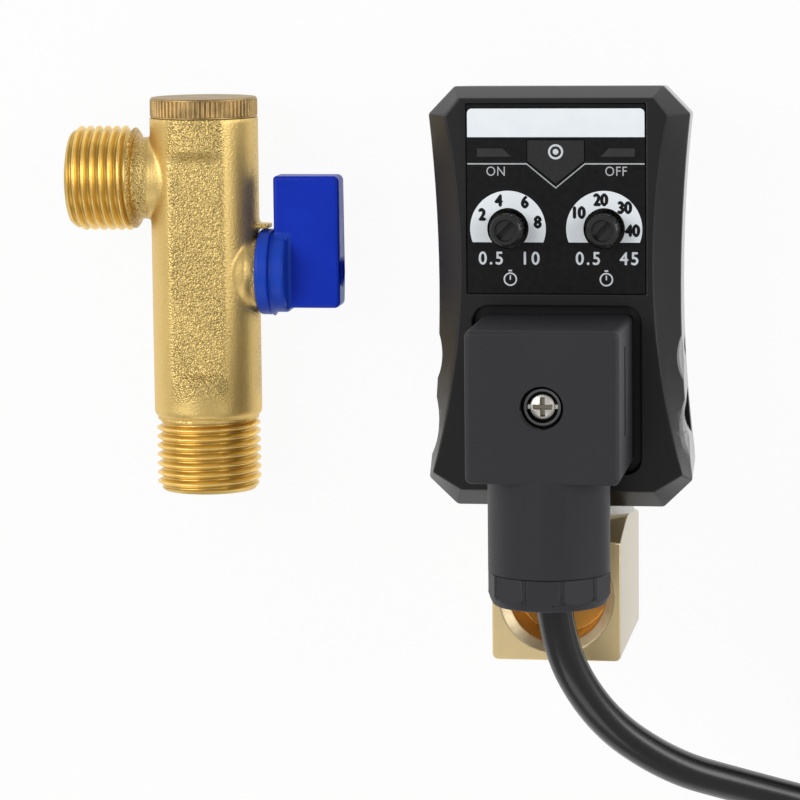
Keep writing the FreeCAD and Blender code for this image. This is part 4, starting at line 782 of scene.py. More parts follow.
def evened(obj):
    """Shades flat faces as flat where they meet round ones."""
    even = obj.modifiers.new("Normals", "WEIGHTED_NORMAL")
    even.keep_sharp = True
    return settle(obj)


def settle(obj):
    """Turns an object and its modifiers into a plain mesh at the origin."""
    bpy.context.view_layer.update()
    made = bpy.data.meshes.new_from_object(obj.evaluated_get(bpy.context.evaluated_depsgraph_get()))
    made.transform(obj.matrix_world)
    obj.modifiers.clear()
    obj.data = made
    obj.matrix_world = Matrix()
    return obj


def joined(name, *objects):
    """Joins finished mesh objects, which keep their materials, into the first."""
    first = objects[0]
    bpy.ops.object.select_all(action="DESELECT")
    for obj in objects:
        obj.select_set(True)
    bpy.context.view_layer.objects.active = first
    bpy.ops.object.join()
    first.name = first.data.name = name
    return first


def rides(obj, body, slot, *nodes):
    """Puts a piece on a body and in a slot, in the place of the CAD nodes that it replaces."""
    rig.ride(obj, body)
    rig.slot(obj, slot)
    if nodes:
        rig.replaces(obj, *nodes)
    return obj


def between(value, low, high):
    """Rises smoothly from 0 to 1 between two values."""
    part = min(1.0, max(0.0, (value - low) / (high - low)))
    return part * part * (3 - 2 * part)


def thread(name, radius, bore, length, origin, direction, material):
    """A closed sleeve with a right-handed outer thread, whose far end is chamfered, in millimetres."""
    place = axis_frame(Vector(origin) * MM, direction)
    back = place.inverted()
    pitch, depth = sizes().pitch, sizes().depth
    crest, flank = pitch / 7, (pitch - 2 * pitch / 7) / 2
    columns, rows = 72, 12

    def outer(height, turn):
        phase = (height / pitch - turn) % 1.0
        away = abs(phase - 0.5) * pitch
        cut = min(1.0, max(0.0, (away - crest / 2) / flank))
        cut = 1 - (1 - cut) * between(height, -0.1, 0.9)
        return min(radius - depth * cut, radius - depth + max(0.0, length - height) * 0.75)

    shape = bmesh.new()
    grid = {}
    total = int(length / pitch * rows) + rows + 1
    for row in range(-rows, total + 1):
        for column in range(columns + 1):
            turn = column / columns
            height = min(length, max(0.0, (row / rows + turn) * pitch))
            r, a = outer(height, turn), 2 * math.pi * turn
            grid[row, column] = shape.verts.new(place @ (Vector((r * math.cos(a), r * math.sin(a), height)) * MM))
    for row in range(-rows, total):
        for column in range(columns):
            corner = [grid[row, column], grid[row, column + 1], grid[row + 1, column + 1], grid[row + 1, column]]
            shape.faces.new(corner)
    bmesh.ops.remove_doubles(shape, verts=shape.verts, dist=1e-6)
    bmesh.ops.dissolve_degenerate(shape, dist=1e-6, edges=shape.edges)
    inner = []
    for height in (0.0, length):
        rim = [vert for vert in shape.verts if abs((back @ vert.co).z - height * MM) < 2 * WELD
               and any(edge.is_boundary for edge in vert.link_edges)]
        rim.sort(key=lambda vert: math.atan2((back @ vert.co).y, (back @ vert.co).x))
        ring = []
        for vert in rim:
            at = back @ vert.co
            a = math.atan2(at.y, at.x)
            ring.append(shape.verts.new(place @ (Vector((bore * math.cos(a), bore * math.sin(a), height)) * MM)))
        for at in range(len(rim)):
            other = (at + 1) % len(rim)
            shape.faces.new([rim[at], rim[other], ring[other], ring[at]])
        inner.append(ring)
    for at in range(len(inner[0])):
        other = (at + 1) % len(inner[0])
        shape.faces.new([inner[0][at], inner[0][other], inner[1][other], inner[1][at]])
    bmesh.ops.recalc_face_normals(shape, faces=shape.faces)
    return from_shape(name, shape, material, 50)


# ---------------------------------------------------------------- repeats


def ribs_tree():
    """Node tree that sets equal ribs on a ring round the Z axis."""
    name = "Ribs on a ring"
    if name in bpy.data.node_groups:
        return bpy.data.node_groups[name]
    tree = bpy.data.node_groups.new(name, "GeometryNodeTree")
    for label, kind in (("Count", "NodeSocketInt"), ("Ring radius", "NodeSocketFloat"),
                        ("Rib radius", "NodeSocketFloat"), ("Height", "NodeSocketFloat"),
                        ("Finish", "NodeSocketMaterial")):
        tree.interface.new_socket(label, in_out="INPUT", socket_type=kind)
    tree.interface.new_socket("Geometry", in_out="OUTPUT", socket_type="NodeSocketGeometry")
    maker = Nodes(tree)
    given = maker.node("NodeGroupInput", {}, {})
    ring = maker.node("GeometryNodeMeshCircle", {}, {"Vertices": given["Count"], "Radius": given["Ring radius"]})
    rib = maker.node("GeometryNodeMeshCylinder", {}, {"Vertices": 8, "Radius": given["Rib radius"],
                                                      "Depth": given["Height"]})
    spread = maker.node("GeometryNodeInstanceOnPoints", {}, {"Points": ring["Mesh"], "Instance": rib["Mesh"]})
    real = maker.node("GeometryNodeRealizeInstances", {}, {0: spread[0]})
    paint = maker.node("GeometryNodeSetMaterial", {}, {"Geometry": real[0], "Material": given["Finish"]})
    maker.node("NodeGroupOutput", {}, {0: paint[0]})
    return tree


def grown(name, tree, values, origin, direction):
    """Runs a node tree and returns its result as a plain mesh object in its place."""
    obj = link(bpy.data.objects.new(name, bpy.data.meshes.new(name)))
    grow = obj.modifiers.new("Grow", "NODES")
    grow.node_group = tree
    for item in tree.interface.items_tree:
        if item.in_out == "INPUT":
            grow[item.identifier] = values[item.name]
    settle(obj)
    obj.data.transform(axis_frame(Vector(origin) * MM, direction))
    obj.data.shade_smooth()
    obj.data.set_sharp_from_angle(angle=math.radians(50))
    return obj


def ribs(name, count, ring, rib, height, origin, direction, material):
    return grown(name, ribs_tree(), {"Count": count, "Ring radius": ring * MM, "Rib radius": rib * MM,
                                     "Height": height * MM, "Finish": finish(material)}, origin, direction)


# ---------------------------------------------------------------- camera, stage and lead


# The camera's lens and sensor in millimetres, its place in metres, and its lean to the right, its lean upwards and its
# roll in radians.
LENS, SENSOR = 172.75, 36.0
CAMERA_PLACE = (0.08055, 0.13675, 0.76496)
LEAN_RIGHT, LEAN_UP, ROLL = 0.1500, 0.1337, -0.01044
WHITE = (1.0, 1.0, 1.0)


def camera():
    view = bpy.data.cameras.new("Camera")
    view.lens, view.sensor_width = LENS, SENSOR
    view.clip_end = 20.0
    back = Vector((math.sin(LEAN_RIGHT), math.sin(LEAN_UP), 0.0))
    back.z = math.sqrt(1 - back.x ** 2 - back.y ** 2)
    along = Vector((0, 1, 0))
    up = (along - back * along.dot(back)).normalized()
    right = up.cross(back)
    across = right * math.cos(ROLL) + up * math.sin(ROLL)
    upward = up * math.cos(ROLL) - right * math.sin(ROLL)
    obj = link(bpy.data.objects.new("Camera", view))
    turn = Matrix((across, upward, back)).transposed().to_4x4()
    obj.matrix_world = Matrix.Translation(CAMERA_PLACE) @ turn
    bpy.context.scene.camera = obj


def lamp(name, at, towards, width, height, power):
    data = bpy.data.lights.new(name, "AREA")
    data.shape, data.size, data.size_y, data.energy = "RECTANGLE", width, height, power
    obj = link(bpy.data.objects.new(name, data))
    turn = (Vector(towards) - Vector(at)).to_track_quat("-Z", "Y").to_matrix().to_4x4()
    obj.matrix_world = Matrix.Translation(at) @ turn


def white_for_looks(f, strength):
    """Mixes a plain white over a finish for rays that look at it straight, in a mirror or through glass."""
    rays = f.node("ShaderNodeLightPath", {}, {})
    looks = (rays["Is Camera Ray"] + rays["Is Glossy Ray"] + rays["Is Transmission Ray"]).above(0.0, 1.0)
    glow = f.node("ShaderNodeEmission", {}, {"Color": WHITE})
    mixed = f.node("ShaderNodeMixShader", {}, {0: looks * strength, 1: Wire(f, f.shader.outputs[0]), 2: glow[0]})
    f.give(f.tree.nodes["Material Output"].inputs[0], mixed[0])


def studio_world(strength):
    """Even light of the given strength, which shows itself to the camera as plain white."""
    world = bpy.data.worlds.new("Studio")
    world.use_nodes = True
    maker = Nodes(world.node_tree)
    sky = maker.tree.nodes["Background"]
    maker.give(sky.inputs["Color"], WHITE)
    maker.give(sky.inputs["Strength"], strength)
    rays = maker.node("ShaderNodeLightPath", {}, {})
    glow = maker.node("ShaderNodeBackground", {}, {"Color": WHITE})
    mixed = maker.node("ShaderNodeMixShader", {}, {0: rays["Is Camera Ray"], 1: Wire(maker, sky.outputs[0]),
                                                   2: glow[0]})
    maker.give(maker.tree.nodes["World Output"].inputs[0], mixed[0])
    return world


class VALVE_OT_stage(bpy.types.Operator):
    """Makes the floor, the lamps, the even light and the camera"""

    bl_idname = "valve.stage"
    bl_label = "Stage"

    def execute(self, context):
        scene = context.scene
        light = scene.valve_stage
        scene.view_settings.view_transform = "Standard"
        camera()
        verts = [(-3, -3, 0), (3, -3, 0), (3, 3, 0), (-3, 3, 0)]
        floor = bpy.data.meshes.new("floor")
        floor.from_pydata(verts, [], [(0, 1, 2, 3)])
        floor = link(bpy.data.objects.new("floor", floor))
        f = Finish("Floor")
        cloud = f.noise(4, 2)
        f.set(colour=f.mix(cloud, (0.80, 0.80, 0.80), (0.84, 0.84, 0.84)), rough=0.7 + 0.1 * cloud)
        white_for_looks(f, 0.94)
        floor.data.materials.append(f.material)
        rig.stage(floor)
        scene.world = studio_world(light.sky)
        lamp("Key", (-0.75, 0.35, 0.75), (-0.03, 0.04, 0), 0.55, 0.9, light.key)
        lamp("Fill", (0.85, 0.25, 0.45), (0.0, 0.05, 0), 0.4, 0.9, light.fill)
        lamp("Front", (-0.1, -0.85, 0.75), (-0.03, 0.05, 0), 0.9, 0.4, light.fill * 0.35)
        return {"FINISHED"}


# The lead's route to its coil, the coil, and the tail to the plug, in millimetres. The coil's first turn is wide, the
# next lies inside it and climbs, and the last is wide again on top. The cord runs inside its points, so these stand
# wider by PULL_IN.
LEAD_ROUTE = [(0, 16.4, 51.3), (0, -3.6, 51.3), (8.1, -21.6, 46.4), (21.5, -33.2, 38.0), (34.8, -39.0, 28.5),
              (47.0, -44.3, 19.3), (59.2, -49.0, 11.8), (71.4, -52.3, 6.8), (82.0, -53.5, 4.6), (92.0, -53.6, 4.6)]
TAIL_ROUTE = [(146.2, -12, 12.15), (145.8, 3, 11.0), (145.8, 17.5, 10.3)]
COIL_CENTRE = (104.0, -12.0)
COIL_TURNS, COIL_STEPS = 3.25, 16
COIL_RADIUS, COIL_STEP_IN = 42.4, 7.4
COIL_HEIGHT, COIL_STEP_UP = 4.6, 7.5
PULL_IN = 0.981


def lead_points():
    """The lead's route, the turns of its coil and its tail, in millimetres."""
    points = list(LEAD_ROUTE)
    steps = int(COIL_TURNS * COIL_STEPS)
    for step in range(steps + 1):
        turn = step / COIL_STEPS
        radius = COIL_RADIUS - COIL_STEP_IN * between(turn, 0.72, 0.98) + COIL_STEP_IN * between(turn, 2.1, 2.4)
        height = COIL_HEIGHT + COIL_STEP_UP * between(turn, 1.45, 1.7)
        angle = math.radians(-90 + 360 * turn)
        points.append((COIL_CENTRE[0] + radius / PULL_IN * math.cos(angle),
                       COIL_CENTRE[1] + radius / PULL_IN * math.sin(angle), height))
    return points[:-1] + TAIL_ROUTE


class VALVE_OT_lead(bpy.types.Operator):
    """Makes the lead as one smooth cord, with its coil"""

    bl_idname = "valve.lead"
    bl_label = "Lead"

    def execute(self, context):
        curve = bpy.data.curves.new("mains_lead", "CURVE")
        curve.dimensions = "3D"
        curve.resolution_u = 12
        line = curve.splines.new("NURBS")
        points = lead_points()
        line.points.add(len(points) - 1)
        for point, at in zip(line.points, points):
            point.co = (*(Vector(at) * MM), 1.0)
        line.order_u = 3
        line.use_endpoint_u = True
        obj = link(bpy.data.objects.new("mains_lead", curve))
        bpy.context.view_layer.update()
        path = bpy.data.meshes.new_from_object(obj)
        spots = [vert.co.copy() for vert in path.vertices]
        length = sum((b - a).length for a, b in zip(spots, spots[1:]))
        bpy.data.meshes.remove(path)
        curve.bevel_depth = sizes().cord / 2 * MM
        curve.bevel_resolution = 5
        curve.use_fill_caps = True
        curve.materials.append(finish("cable_black"))
        nodes = frame["nodes"]
        rides(obj, "base", "cable_black", "lead", "lead_coil", "lead_tail")
        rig.cord(obj, exit=(0, 0.0164, 0.0513), length=round(length, 3), diameter=sizes().cord * MM,
                far_end="plug", stiffness="medium", lay="loose",
                with_pieces=[nodes["mains_plug"], nodes["mains_pins"], nodes["lead_tie"]])
        return {"FINISHED"}


# ---------------------------------------------------------------- strainer valve


# The casting in millimetres: its radius; half the width of its flats, their least distance from the axis and the length
# over which their ends scoop out; the radii of its bore and of the neck's bore that stay as they are, and how far left
# of the axis the neck starts; then where its skin is smoothed: from which Y, from which X, how far right of the axis
# and how far below the rim.
CAST_RADIUS = 10.85
FLAT_HALF, FLAT_RISE, SCOOP = 6.4, 8.4, 2.6
BORE_KEPT, NECK_BORE, NECK_START = 8.1, 6.9, 9
SKIN_FOOT, SKIN_LEFT, SKIN_RIGHT, RIM_KEPT = 31, -86.5, 11, 2.2


def scoop(shape, x, z):
    """Lets the casting's flats run out in a curve at both ends."""
    low, high = FLAT
    for vert in shape.verts:
        side, rise, y = vert.co.x / MM - x, vert.co.z / MM - z, vert.co.y / MM
        if abs(side) < FLAT_HALF and abs(rise) > FLAT_RISE and low - 0.2 < y < high + 0.2:
            ends = max(between(y, high - SCOOP, high + 0.1), 1 - between(y, low - 0.1, low + SCOOP))
            hull = math.sqrt(CAST_RADIUS ** 2 - side ** 2)
            if abs(rise) < hull:
                vert.co.z = (z + math.copysign(abs(rise) + (hull - abs(rise)) * ends, rise)) * MM


def soften(body, x, z):
    """Rounds the outer edges of the casting and leaves its bores, its seats and its ends as they are."""
    shape = bmesh.new()
    shape.from_mesh(body.data)
    scoop(shape, x, z)
    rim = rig.box("strainer_body")[1].y
    top = rim - RIM_KEPT * MM
    free = []
    for vert in shape.verts:
        out = math.hypot(vert.co.x - x * MM, vert.co.z - z * MM)
        neck = math.hypot(vert.co.y - INLET_RISE * MM, vert.co.z - z * MM)
        in_neck = vert.co.x < (x - NECK_START) * MM and neck < NECK_BORE * MM
        in_reach = SKIN_FOOT * MM < vert.co.y < top and SKIN_LEFT * MM < vert.co.x < (x + SKIN_RIGHT) * MM
        if out > BORE_KEPT * MM and in_reach and not in_neck:
            free.append(vert)
    for step in range(sizes().softness):
        bmesh.ops.smooth_vert(shape, verts=free, factor=0.5, use_axis_x=True, use_axis_y=True, use_axis_z=True)
    for vert in shape.verts:
        vert.co.y += sizes().cap_drop * MM * between(vert.co.y, rim - 1.0 * MM, rim - 0.3 * MM)
    shape.to_mesh(body.data)
    shape.free()
    dressed(body, "cast_brass", 45)


# The pipe threads in millimetres: their radius and bore, where the outlet's starts on Y and the inlet's on X, how far
# each is let into the casting, and their lengths.
PIPE_RADIUS, PIPE_BORE = 10.478, 6.5
OUTLET_START, INLET_START, THREAD_LAP = 30.1, -87.9, 0.05
OUTLET_LENGTH, INLET_LENGTH = 14.25, 12.45


class VALVE_OT_casting(bpy.types.Operator):
    """Makes the strainer casting, with its two pipe threads"""

    bl_idname = "valve.casting"
    bl_label = "Strainer casting"

    def execute(self, context):
        x, z = STRAINER
        shape = bmesh.new()
        shape.from_mesh(frame["nodes"]["strainer_body"].data)
        bmesh.ops.remove_doubles(shape, verts=shape.verts, dist=CAD_WELD)
        for at, out in (((0, OUTLET_START, 0), (0, -1, 0)), ((INLET_START, 0, 0), (-1, 0, 0))):
            cut = bmesh.ops.bisect_plane(shape, geom=shape.verts[:] + shape.edges[:] + shape.faces[:],
                                         plane_co=Vector(at) * MM, plane_no=out, clear_outer=True, dist=WELD)
            rim = [item for item in cut["geom_cut"] if isinstance(item, bmesh.types.BMEdge)]
            bmesh.ops.bridge_loops(shape, edges=rim)
        body = from_shape("strainer_casting", shape, "cast_brass", 180)
        skin = body.modifiers.new("Skin", "REMESH")
        skin.mode, skin.voxel_size = "VOXEL", sizes().grain * MM
        settle(body)
        soften(body, x, z)
        outlet = thread("outlet_thread", PIPE_RADIUS, PIPE_BORE, OUTLET_LENGTH, (x, OUTLET_START + THREAD_LAP, z),
                        (0, -1, 0), "outlet_brass")
        inlet = thread("inlet_thread", PIPE_RADIUS, PIPE_BORE, INLET_LENGTH,
                       (INLET_START + THREAD_LAP, INLET_RISE, z), (-1, 0, 0), "inlet_brass")
        rides(body, "base", "brass_cast", "strainer_body")
        rides(outlet, "base", "brass_cast")
        rides(inlet, "base", "brass_cast")
        return {"FINISHED"}


class VALVE_OT_cap(bpy.types.Operator):
    """Makes the strainer's knurled cap: a turned cup with fine ribs round it"""

    bl_idname = "valve.cap"
    bl_label = "Strainer cap"

    def execute(self, context):
        x, z = STRAINER
        low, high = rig.box("strainer_cap")
        foot, top = low.y / MM, high.y / MM
        rim, bead, skirt, wall = 10.4, 10.68, 7.9, 5.68
        spigot, recess = 6.2, 4.9
        seat, floor = foot + spigot + 0.1 + sizes().cap_drop, foot + recess
        cup = turned("knurled_cap", [(wall, foot), (skirt, foot), (skirt, seat), (10.65, seat), (10.65, seat + 0.25),
                                     (rim, seat + 0.35), (rim, top - 0.5), (bead, top - 0.42), (bead, top - 0.25),
                                     (10.45, top), (0.01, top), (0.01, floor), (wall, floor)],
                     (x, 0, z), (0, 1, 0), "cap_brass", 120, 30)
        ridges = ribs("knurls", sizes().knurls, rim - 0.03, 0.4, top - 0.46 - seat - 0.3,
                      (x, (top - 0.46 + seat + 0.3) / 2, z), (0, 1, 0), "cap_brass")
        rides(joined("knurled_cap", cup, ridges), "strainer_cap", "brass_knurled", "strainer_cap")
        return {"FINISHED"}


class VALVE_OT_lever(bpy.types.Operator):
    """Makes the blue lever with soft edges"""

    bl_idname = "valve.lever"
    bl_label = "Lever"

    def execute(self, context):
        rides(cad_copy("handle", "ball_lever", "lever_blue", sizes().soft_edge, 40, 3), "handle", "handle_blue",
              "handle")
        return {"FINISHED"}


# ---------------------------------------------------------------- controller


# Finger grips in the case's sides in millimetres: the height along Y, the inmost place and the radius of each, in the
# cover and in the back. Then for each shell the level at which that holds, the lean, and the cutter's foot and top.
SCALLOPS = ((46.2, 23.65, 12.5), (33.4, 24.35, 17.0))
FOOT_SCALLOPS = ((46.5, 22.6, 10.5), (34.0, 22.6, 10.5))
COVER_GRIP = (31.0, 0.10, 13.0, 45.0)
REAR_GRIP = (12.0, 0.12, -5.0, 13.0)


def scalloped(shell, cuts, level, slant, foot, top):
    """Cuts leaning finger grips, each with its height, its inmost place at a level and its radius, into both sides."""
    for side in (-1, 1):
        for height, inmost, radius in cuts:
            cutter = turned("grip_cutter", [(radius, foot), (radius, top), (0.01, top), (0.01, foot)],
                            (side * (inmost + radius + level * slant), height, 0), (-side * slant, 0, 1),
                            "case_black", 160)
            cut = shell.modifiers.new("Grip", "BOOLEAN")
            cut.operation, cut.solver, cut.object = "DIFFERENCE", "EXACT", cutter
            settle(shell)
            bpy.data.objects.remove(cutter)
    normals = shell.data.attributes.get("custom_normal")
    if normals:
        shell.data.attributes.remove(normals)
    return evened(dressed(shell, "case_black", 24))


class VALVE_OT_case(bpy.types.Operator):
    """Makes the two halves of the controller's case with rounded edges"""

    bl_idname = "valve.case"
    bl_label = "Case"

    def execute(self, context):
        def in_grip(at):
            return abs(at.x) > 22.5 and 30.0 < at.y < 37.8

        edge = sizes().edge
        cover = cad_copy("front_cover", "controller_cover", "case_black", edge, 15, 2, in_grip)
        cuts = [(height, wall - sizes().grip_depth, radius) for height, wall, radius in SCALLOPS]
        rides(scalloped(cover, cuts, *COVER_GRIP), "base", "case_black", "front_cover")
        rear = cad_copy("rear_case", "controller_back", "case_black", edge, 20)
        rides(scalloped(rear, FOOT_SCALLOPS, *REAR_GRIP), "base", "case_black", "rear_case")
        return {"FINISHED"}


class VALVE_OT_connector(bpy.types.Operator):
    """Makes the connector's housing, its gland nut and its screw"""

    bl_idname = "valve.connector"
    bl_label = "Connector"

    def execute(self, context):
        low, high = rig.box("connector_screw")
        body_half = 14.0
        foot = (low.y + high.y) / 2 / MM - body_half
        housing = cad_copy("connector_cap", "connector_housing", "connector_grey", 0, skip=lambda at: at.y < foot)
        rides(housing, "base", "connector_grey", "connector_cap")
        rides(cad_copy("gland_nut", "gland_cap_nut", "connector_grey", 0.3, 20), "base", "connector_grey",
              "gland_nut")
        rides(screw_head(), "base", "plated_steel", "connector_screw")
        return {"FINISHED"}


def screw_head():
    """The connector's screw: a domed head with a cross recess and two side ears."""
    low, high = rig.box("connector_screw")
    foot, top, centre = low.z / MM, high.z / MM, (low.y + high.y) / 2 / MM
    radius, seat, shank, count = 2.3, top - 2.2, 1.5, 144

    def rise(x, y):
        across, along = abs(x), abs(y)
        out = math.hypot(x, y)
        arms = 0.0
        for width, reach in ((along, across), (across, along)):
            arms = max(arms, (1 - between(width, 0.32, 0.48)) * (1 - between(reach, 1.6, 1.9)))
        return top - 0.5 * (out / radius) ** 2 - arms * (1.1 - 0.35 * min(1.0, out / 1.5))

    rings = []
    for out, height in ((0.02, foot), (shank, foot), (shank, seat), (radius, seat), (radius, top - 0.62)):
        rings.append((out, height))
    for step in range(44):
        rings.append((radius * (1 - step / 43.5), None))
    points = []
    for out, height in rings:
        row = []
        for at in range(count):
            a = 2 * math.pi * at / count
            x, y = out * math.cos(a), out * math.sin(a)
            row.append(Vector((x, y + centre, rise(x, y) if height is None else height)) * MM)
        points.append(row)
    head = loops("screw_head", points, "bright_nickel", 30)
    bar = [(-2.95, -0.5), (2.95, -0.5), (2.95, 0.5), (-2.95, 0.5)]
    sections = []
    for inset, height in ((0.0, top - 2.0), (0.0, top - 1.0), (0.12, top - 0.88)):
        sections.append([Vector((x - math.copysign(inset, x), y - math.copysign(inset, y) + centre, height)) * MM
                         for x, y in bar])
    ears = loops("screw_ears", sections, "bright_nickel", 30)
    return joined("connector_screw_head", head, ears)


def flat(name, outline, material, holes=()):
    """A thin print with the given outline, as a closed plate that stands on the label."""
    low, high = (LABEL_TOP - 0.05) * MM, (LABEL_TOP + sizes().print_height) * MM
    shape = bmesh.new()
    edges = []
    for ring in (outline, *holes):
        verts = [shape.verts.new((px * MM, py * MM, high)) for px, py in ring]
        edges += [shape.edges.new((verts[i - 1], verts[i])) for i in range(len(verts))]
    bmesh.ops.triangle_fill(shape, edges=edges, use_beauty=True)
    for item in bmesh.ops.extrude_face_region(shape, geom=shape.faces[:])["geom"]:
        if isinstance(item, bmesh.types.BMVert):
            item.co.z = low
    bmesh.ops.recalc_face_normals(shape, faces=shape.faces)
    return from_shape(name, shape, material, 30)


def words(name, text, height, at, material, weight, narrow, spacing=1.0, top=None):
    """Characters as thin closed prints, centred on a point of the label. Weight thickens the strokes."""
    curve = bpy.data.curves.new(name, "FONT")
    capital = 0.72
    curve.body, curve.size = text, height / capital * MM
    curve.space_character = spacing
    curve.resolution_u = 6
    low, high = LABEL_TOP - 0.04, top or LABEL_TOP + sizes().print_height
    curve.extrude = (high - low) / 2 * MM
    obj = link(bpy.data.objects.new(name, curve))
    bpy.context.view_layer.update()
    mesh = bpy.data.meshes.new_from_object(obj)
    bpy.data.objects.remove(obj)
    shape = bmesh.new()
    shape.from_mesh(mesh)
    bmesh.ops.remove_doubles(shape, verts=shape.verts, dist=WELD)
    bmesh.ops.recalc_face_normals(shape, faces=shape.faces)
    xs, ys = [v.co.x for v in shape.verts], [v.co.y for v in shape.verts]
    middle = Vector(((min(xs) + max(xs)) / 2, (min(ys) + max(ys)) / 2, 0))
    first = shape.verts[:]
    for vert in first:
        vert.co = (vert.co - middle) * Vector((narrow, 1, 1)) + Vector((at[0], at[1], (low + high) / 2)) * MM
    if weight:
        faces = shape.faces[:]
        for dx, dy in ((weight, 0), (0, weight), (0, -weight)):
            lift = dx / weight * 0.008 - abs(dy) / weight * 0.004 - dy / weight * 0.002
            for item in bmesh.ops.duplicate(shape, geom=faces)["geom"]:
                if isinstance(item, bmesh.types.BMVert):
                    item.co += Vector((dx, dy, lift)) * MM
        for vert in first:
            vert.co.x -= weight * MM
    return from_shape(name, shape, material, 30)


def arc(centre, radius, start, end, steps):
    return [(centre[0] + radius * math.cos(math.radians(start + (end - start) * i / steps)),
             centre[1] + radius * math.sin(math.radians(start + (end - start) * i / steps)))
            for i in range(steps + 1)]


def circle(centre, radius, count=48):
    return arc(centre, radius, 0, 360 - 360 / count, count - 1)


def oblong(x, half, low, high):
    return [(x - half, low), (x + half, low), (x + half, high), (x - half, high)]


def stopwatch(name, at):
    """A small generic clock sign: a ring, its crown and a hand."""
    x, y = at
    return [flat(name + "_ring", circle(at, 1.3), "print_pale", [circle(at, 1.02)]),
            flat(name + "_hand", oblong(x, 0.12, y - 0.12, y + 0.75), "print_pale"),
            flat(name + "_crown", oblong(x, 0.35, y + 1.5, y + 1.8), "print_pale")]


class VALVE_OT_knobs(bpy.types.Operator):
    """Sets fine ribs round the two dial knobs"""

    bl_idname = "valve.knobs"
    bl_label = "Knobs"

    def execute(self, context):
        foot = LABEL_TOP + 0.2
        for dial, (cx, cy) in DIALS.items():
            node = dial + "_time_knob"
            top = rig.box(node)[1].z / MM - 0.5
            ridges = ribs(dial + "_knob_ribs", sizes().knob_ribs, 3.0, 0.19, top - foot,
                          (cx, cy, (top + foot) / 2), (0, 0, 1), "dial_black")
            rides(ridges, node, "dial_black")
        return {"FINISHED"}


# The label's prints in millimetres: half the width of the bar and the line, the line's outline and half its weight,
# the dial bands' radii and how far they are cut off below, and the numerals with their places beside the dials.
PRINT_HALF = 17.0
CHEVRON, CHEVRON_HALF = [(-PRINT_HALF, 83.45), (-5.6, 83.45), (0, 78.85), (5.6, 83.45), (PRINT_HALF, 83.45)], 0.13
BAND_OUT, BAND_IN, BAND_CUT = 7.3, 4.0, 2.6
NUMERALS = {"on": {"2": (-4.95, 2.75), "4": (-1.75, 5.45), "6": (3.3, 5.15), "8": (5.75, 1.3)},
            "off": {"10": (-4.75, 3.15), "20": (-0.65, 5.6), "30": (3.95, 4.1), "40": (5.4, -0.3)}}
END_NUMERALS = (("on_low", "0.5", (-12.6, 65.35)), ("on_high", "10", (-4.7, 65.35)),
                ("off_low", "0.5", (6.1, 65.35)), ("off_high", "45", (14.0, 65.35)))
LAMP_WORDS = (("on_word", "ON", (-11.55, 82.05)), ("off_word", "OFF", (11.57, 82.05)))
PRESS = (0, 85.75)


class VALVE_OT_label(bpy.types.Operator):
    """Prints the label: a blank bar, the chevron line, dial bands and numerals"""

    bl_idname = "valve.label"
    bl_label = "Label"

    def execute(self, context):
        bar = [(-PRINT_HALF, 88.55), (PRINT_HALF, 88.55)]
        bar += arc((16.1, 93.1), 0.9, 0, 90, 6) + arc((-16.1, 93.1), 0.9, 90, 180, 6)
        line = [(px, py + CHEVRON_HALF) for px, py in CHEVRON]
        line += [(px, py - CHEVRON_HALF) for px, py in reversed(CHEVRON)]
        pieces = [flat("bar_print", bar, "print_white"), flat("chevron_print", line, "print_grey")]
        wide, near = [math.degrees(math.asin(BAND_CUT / radius)) for radius in (BAND_OUT, BAND_IN)]
        for dial, (cx, cy) in DIALS.items():
            band = arc((cx, cy), BAND_OUT, -wide, 180 + wide, 48) + arc((cx, cy), BAND_IN, 180 + near, -near, 36)
            pieces.append(flat(dial + "_band_print", band, "print_white"))
            pieces += stopwatch(dial + "_time", (cx + 0.4, 61.3))
        high = LABEL_TOP + sizes().print_height * 1.6
        for dial, marks in NUMERALS.items():
            for text, (dx, dy) in marks.items():
                spot = (DIALS[dial][0] + dx, DIALS[dial][1] + dy)
                pieces.append(words(dial + "_numeral_" + text, text, sizes().numeral * 1.1, spot, "print_black",
                                    0.19, 0.9, top=high))
        for name, text, at in END_NUMERALS:
            pieces.append(words(name, text, 2.5, at, "print_pale", 0.06, 0.95, 1.25))
        for name, text, at in LAMP_WORDS:
            pieces.append(words(name, text, 1.85, at, "print_grey", 0.0, 0.9, 1.1))
        pieces.append(flat("press_ring", circle(PRESS, 1.45), "print_pale", [circle(PRESS, 1.05)]))
        pieces.append(flat("press_dot", circle(PRESS, 0.55, 24), "print_pale"))
        for piece in pieces:
            rides(piece, "test_key" if piece.name.startswith("press") else "base", "label_black")
        return {"FINISHED"}


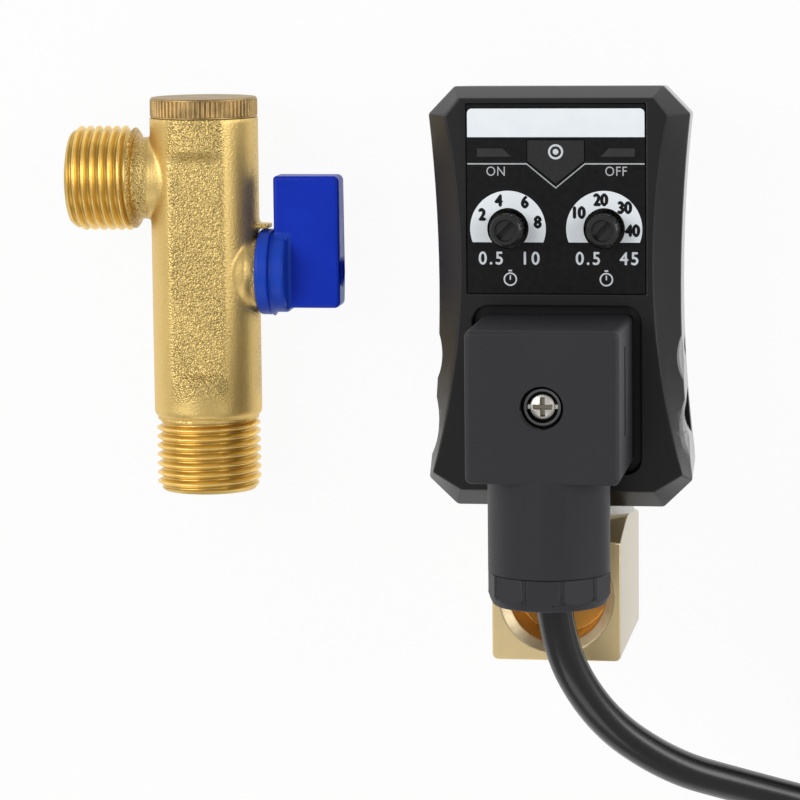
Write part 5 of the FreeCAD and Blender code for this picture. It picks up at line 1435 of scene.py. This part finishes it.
class VALVE_OT_block(bpy.types.Operator):
    """Makes the brass valve block with its machined edges"""

    bl_idname = "valve.block"
    bl_label = "Valve block"

    def execute(self, context):
        rides(cad_copy("valve_block", "brass_valve_block", "block_brass", sizes().metal_edge, 30), "base",
              "brass_block", "valve_block")
        return {"FINISHED"}


class VALVE_OT_finishes(bpy.types.Operator):
    """Gives each CAD piece that stays its finish"""

    bl_idname = "valve.finishes"
    bl_label = "Finishes"

    def execute(self, context):
        named = {node: material for material, nodes in CAD_FINISHES.items() for node in nodes}
        for node, obj in frame["nodes"].items():
            if node not in named:
                raise RuntimeError("no finish is named for " + node)
            for slot in obj.material_slots:
                slot.material = finish(named[node])
        return {"FINISHED"}


class VALVE_PT_panel(bpy.types.Panel):
    """Lists the pieces"""

    bl_idname = "VALVE_PT_panel"
    bl_label = "Drain valve"
    bl_space_type = "VIEW_3D"
    bl_region_type = "UI"
    bl_category = "Drain valve"

    def draw(self, context):
        for settings in (context.scene.valve_sizes, context.scene.valve_tones, context.scene.valve_stage):
            for key in settings.__annotations__:
                self.layout.prop(settings, key)
        for operator in OPERATORS:
            self.layout.operator(operator.bl_idname)


GROUPS = (ValveSizes, ValveTones, ValveStage)
OPERATORS = (VALVE_OT_finishes, VALVE_OT_stage, VALVE_OT_lead, VALVE_OT_casting, VALVE_OT_cap, VALVE_OT_lever,
             VALVE_OT_case, VALVE_OT_connector, VALVE_OT_label, VALVE_OT_knobs, VALVE_OT_block)


def register():
    for item in GROUPS + OPERATORS + (VALVE_PT_panel,):
        bpy.utils.register_class(item)
    bpy.types.Scene.valve_sizes = PointerProperty(type=ValveSizes)
    bpy.types.Scene.valve_tones = PointerProperty(type=ValveTones)
    bpy.types.Scene.valve_stage = PointerProperty(type=ValveStage)


def unregister():
    del bpy.types.Scene.valve_sizes, bpy.types.Scene.valve_tones, bpy.types.Scene.valve_stage
    for item in reversed(GROUPS + OPERATORS + (VALVE_PT_panel,)):
        bpy.utils.unregister_class(item)


def main():
    register()
    for operator in OPERATORS:
        group, name = operator.bl_idname.split(".")
        getattr(getattr(bpy.ops, group), name)()
    with open("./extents.json", "w") as out:
        json.dump({"cad": CAD_BOX, "visual": [list(corner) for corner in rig.bounds()]}, out)


if __name__ == "__main__":
    main()
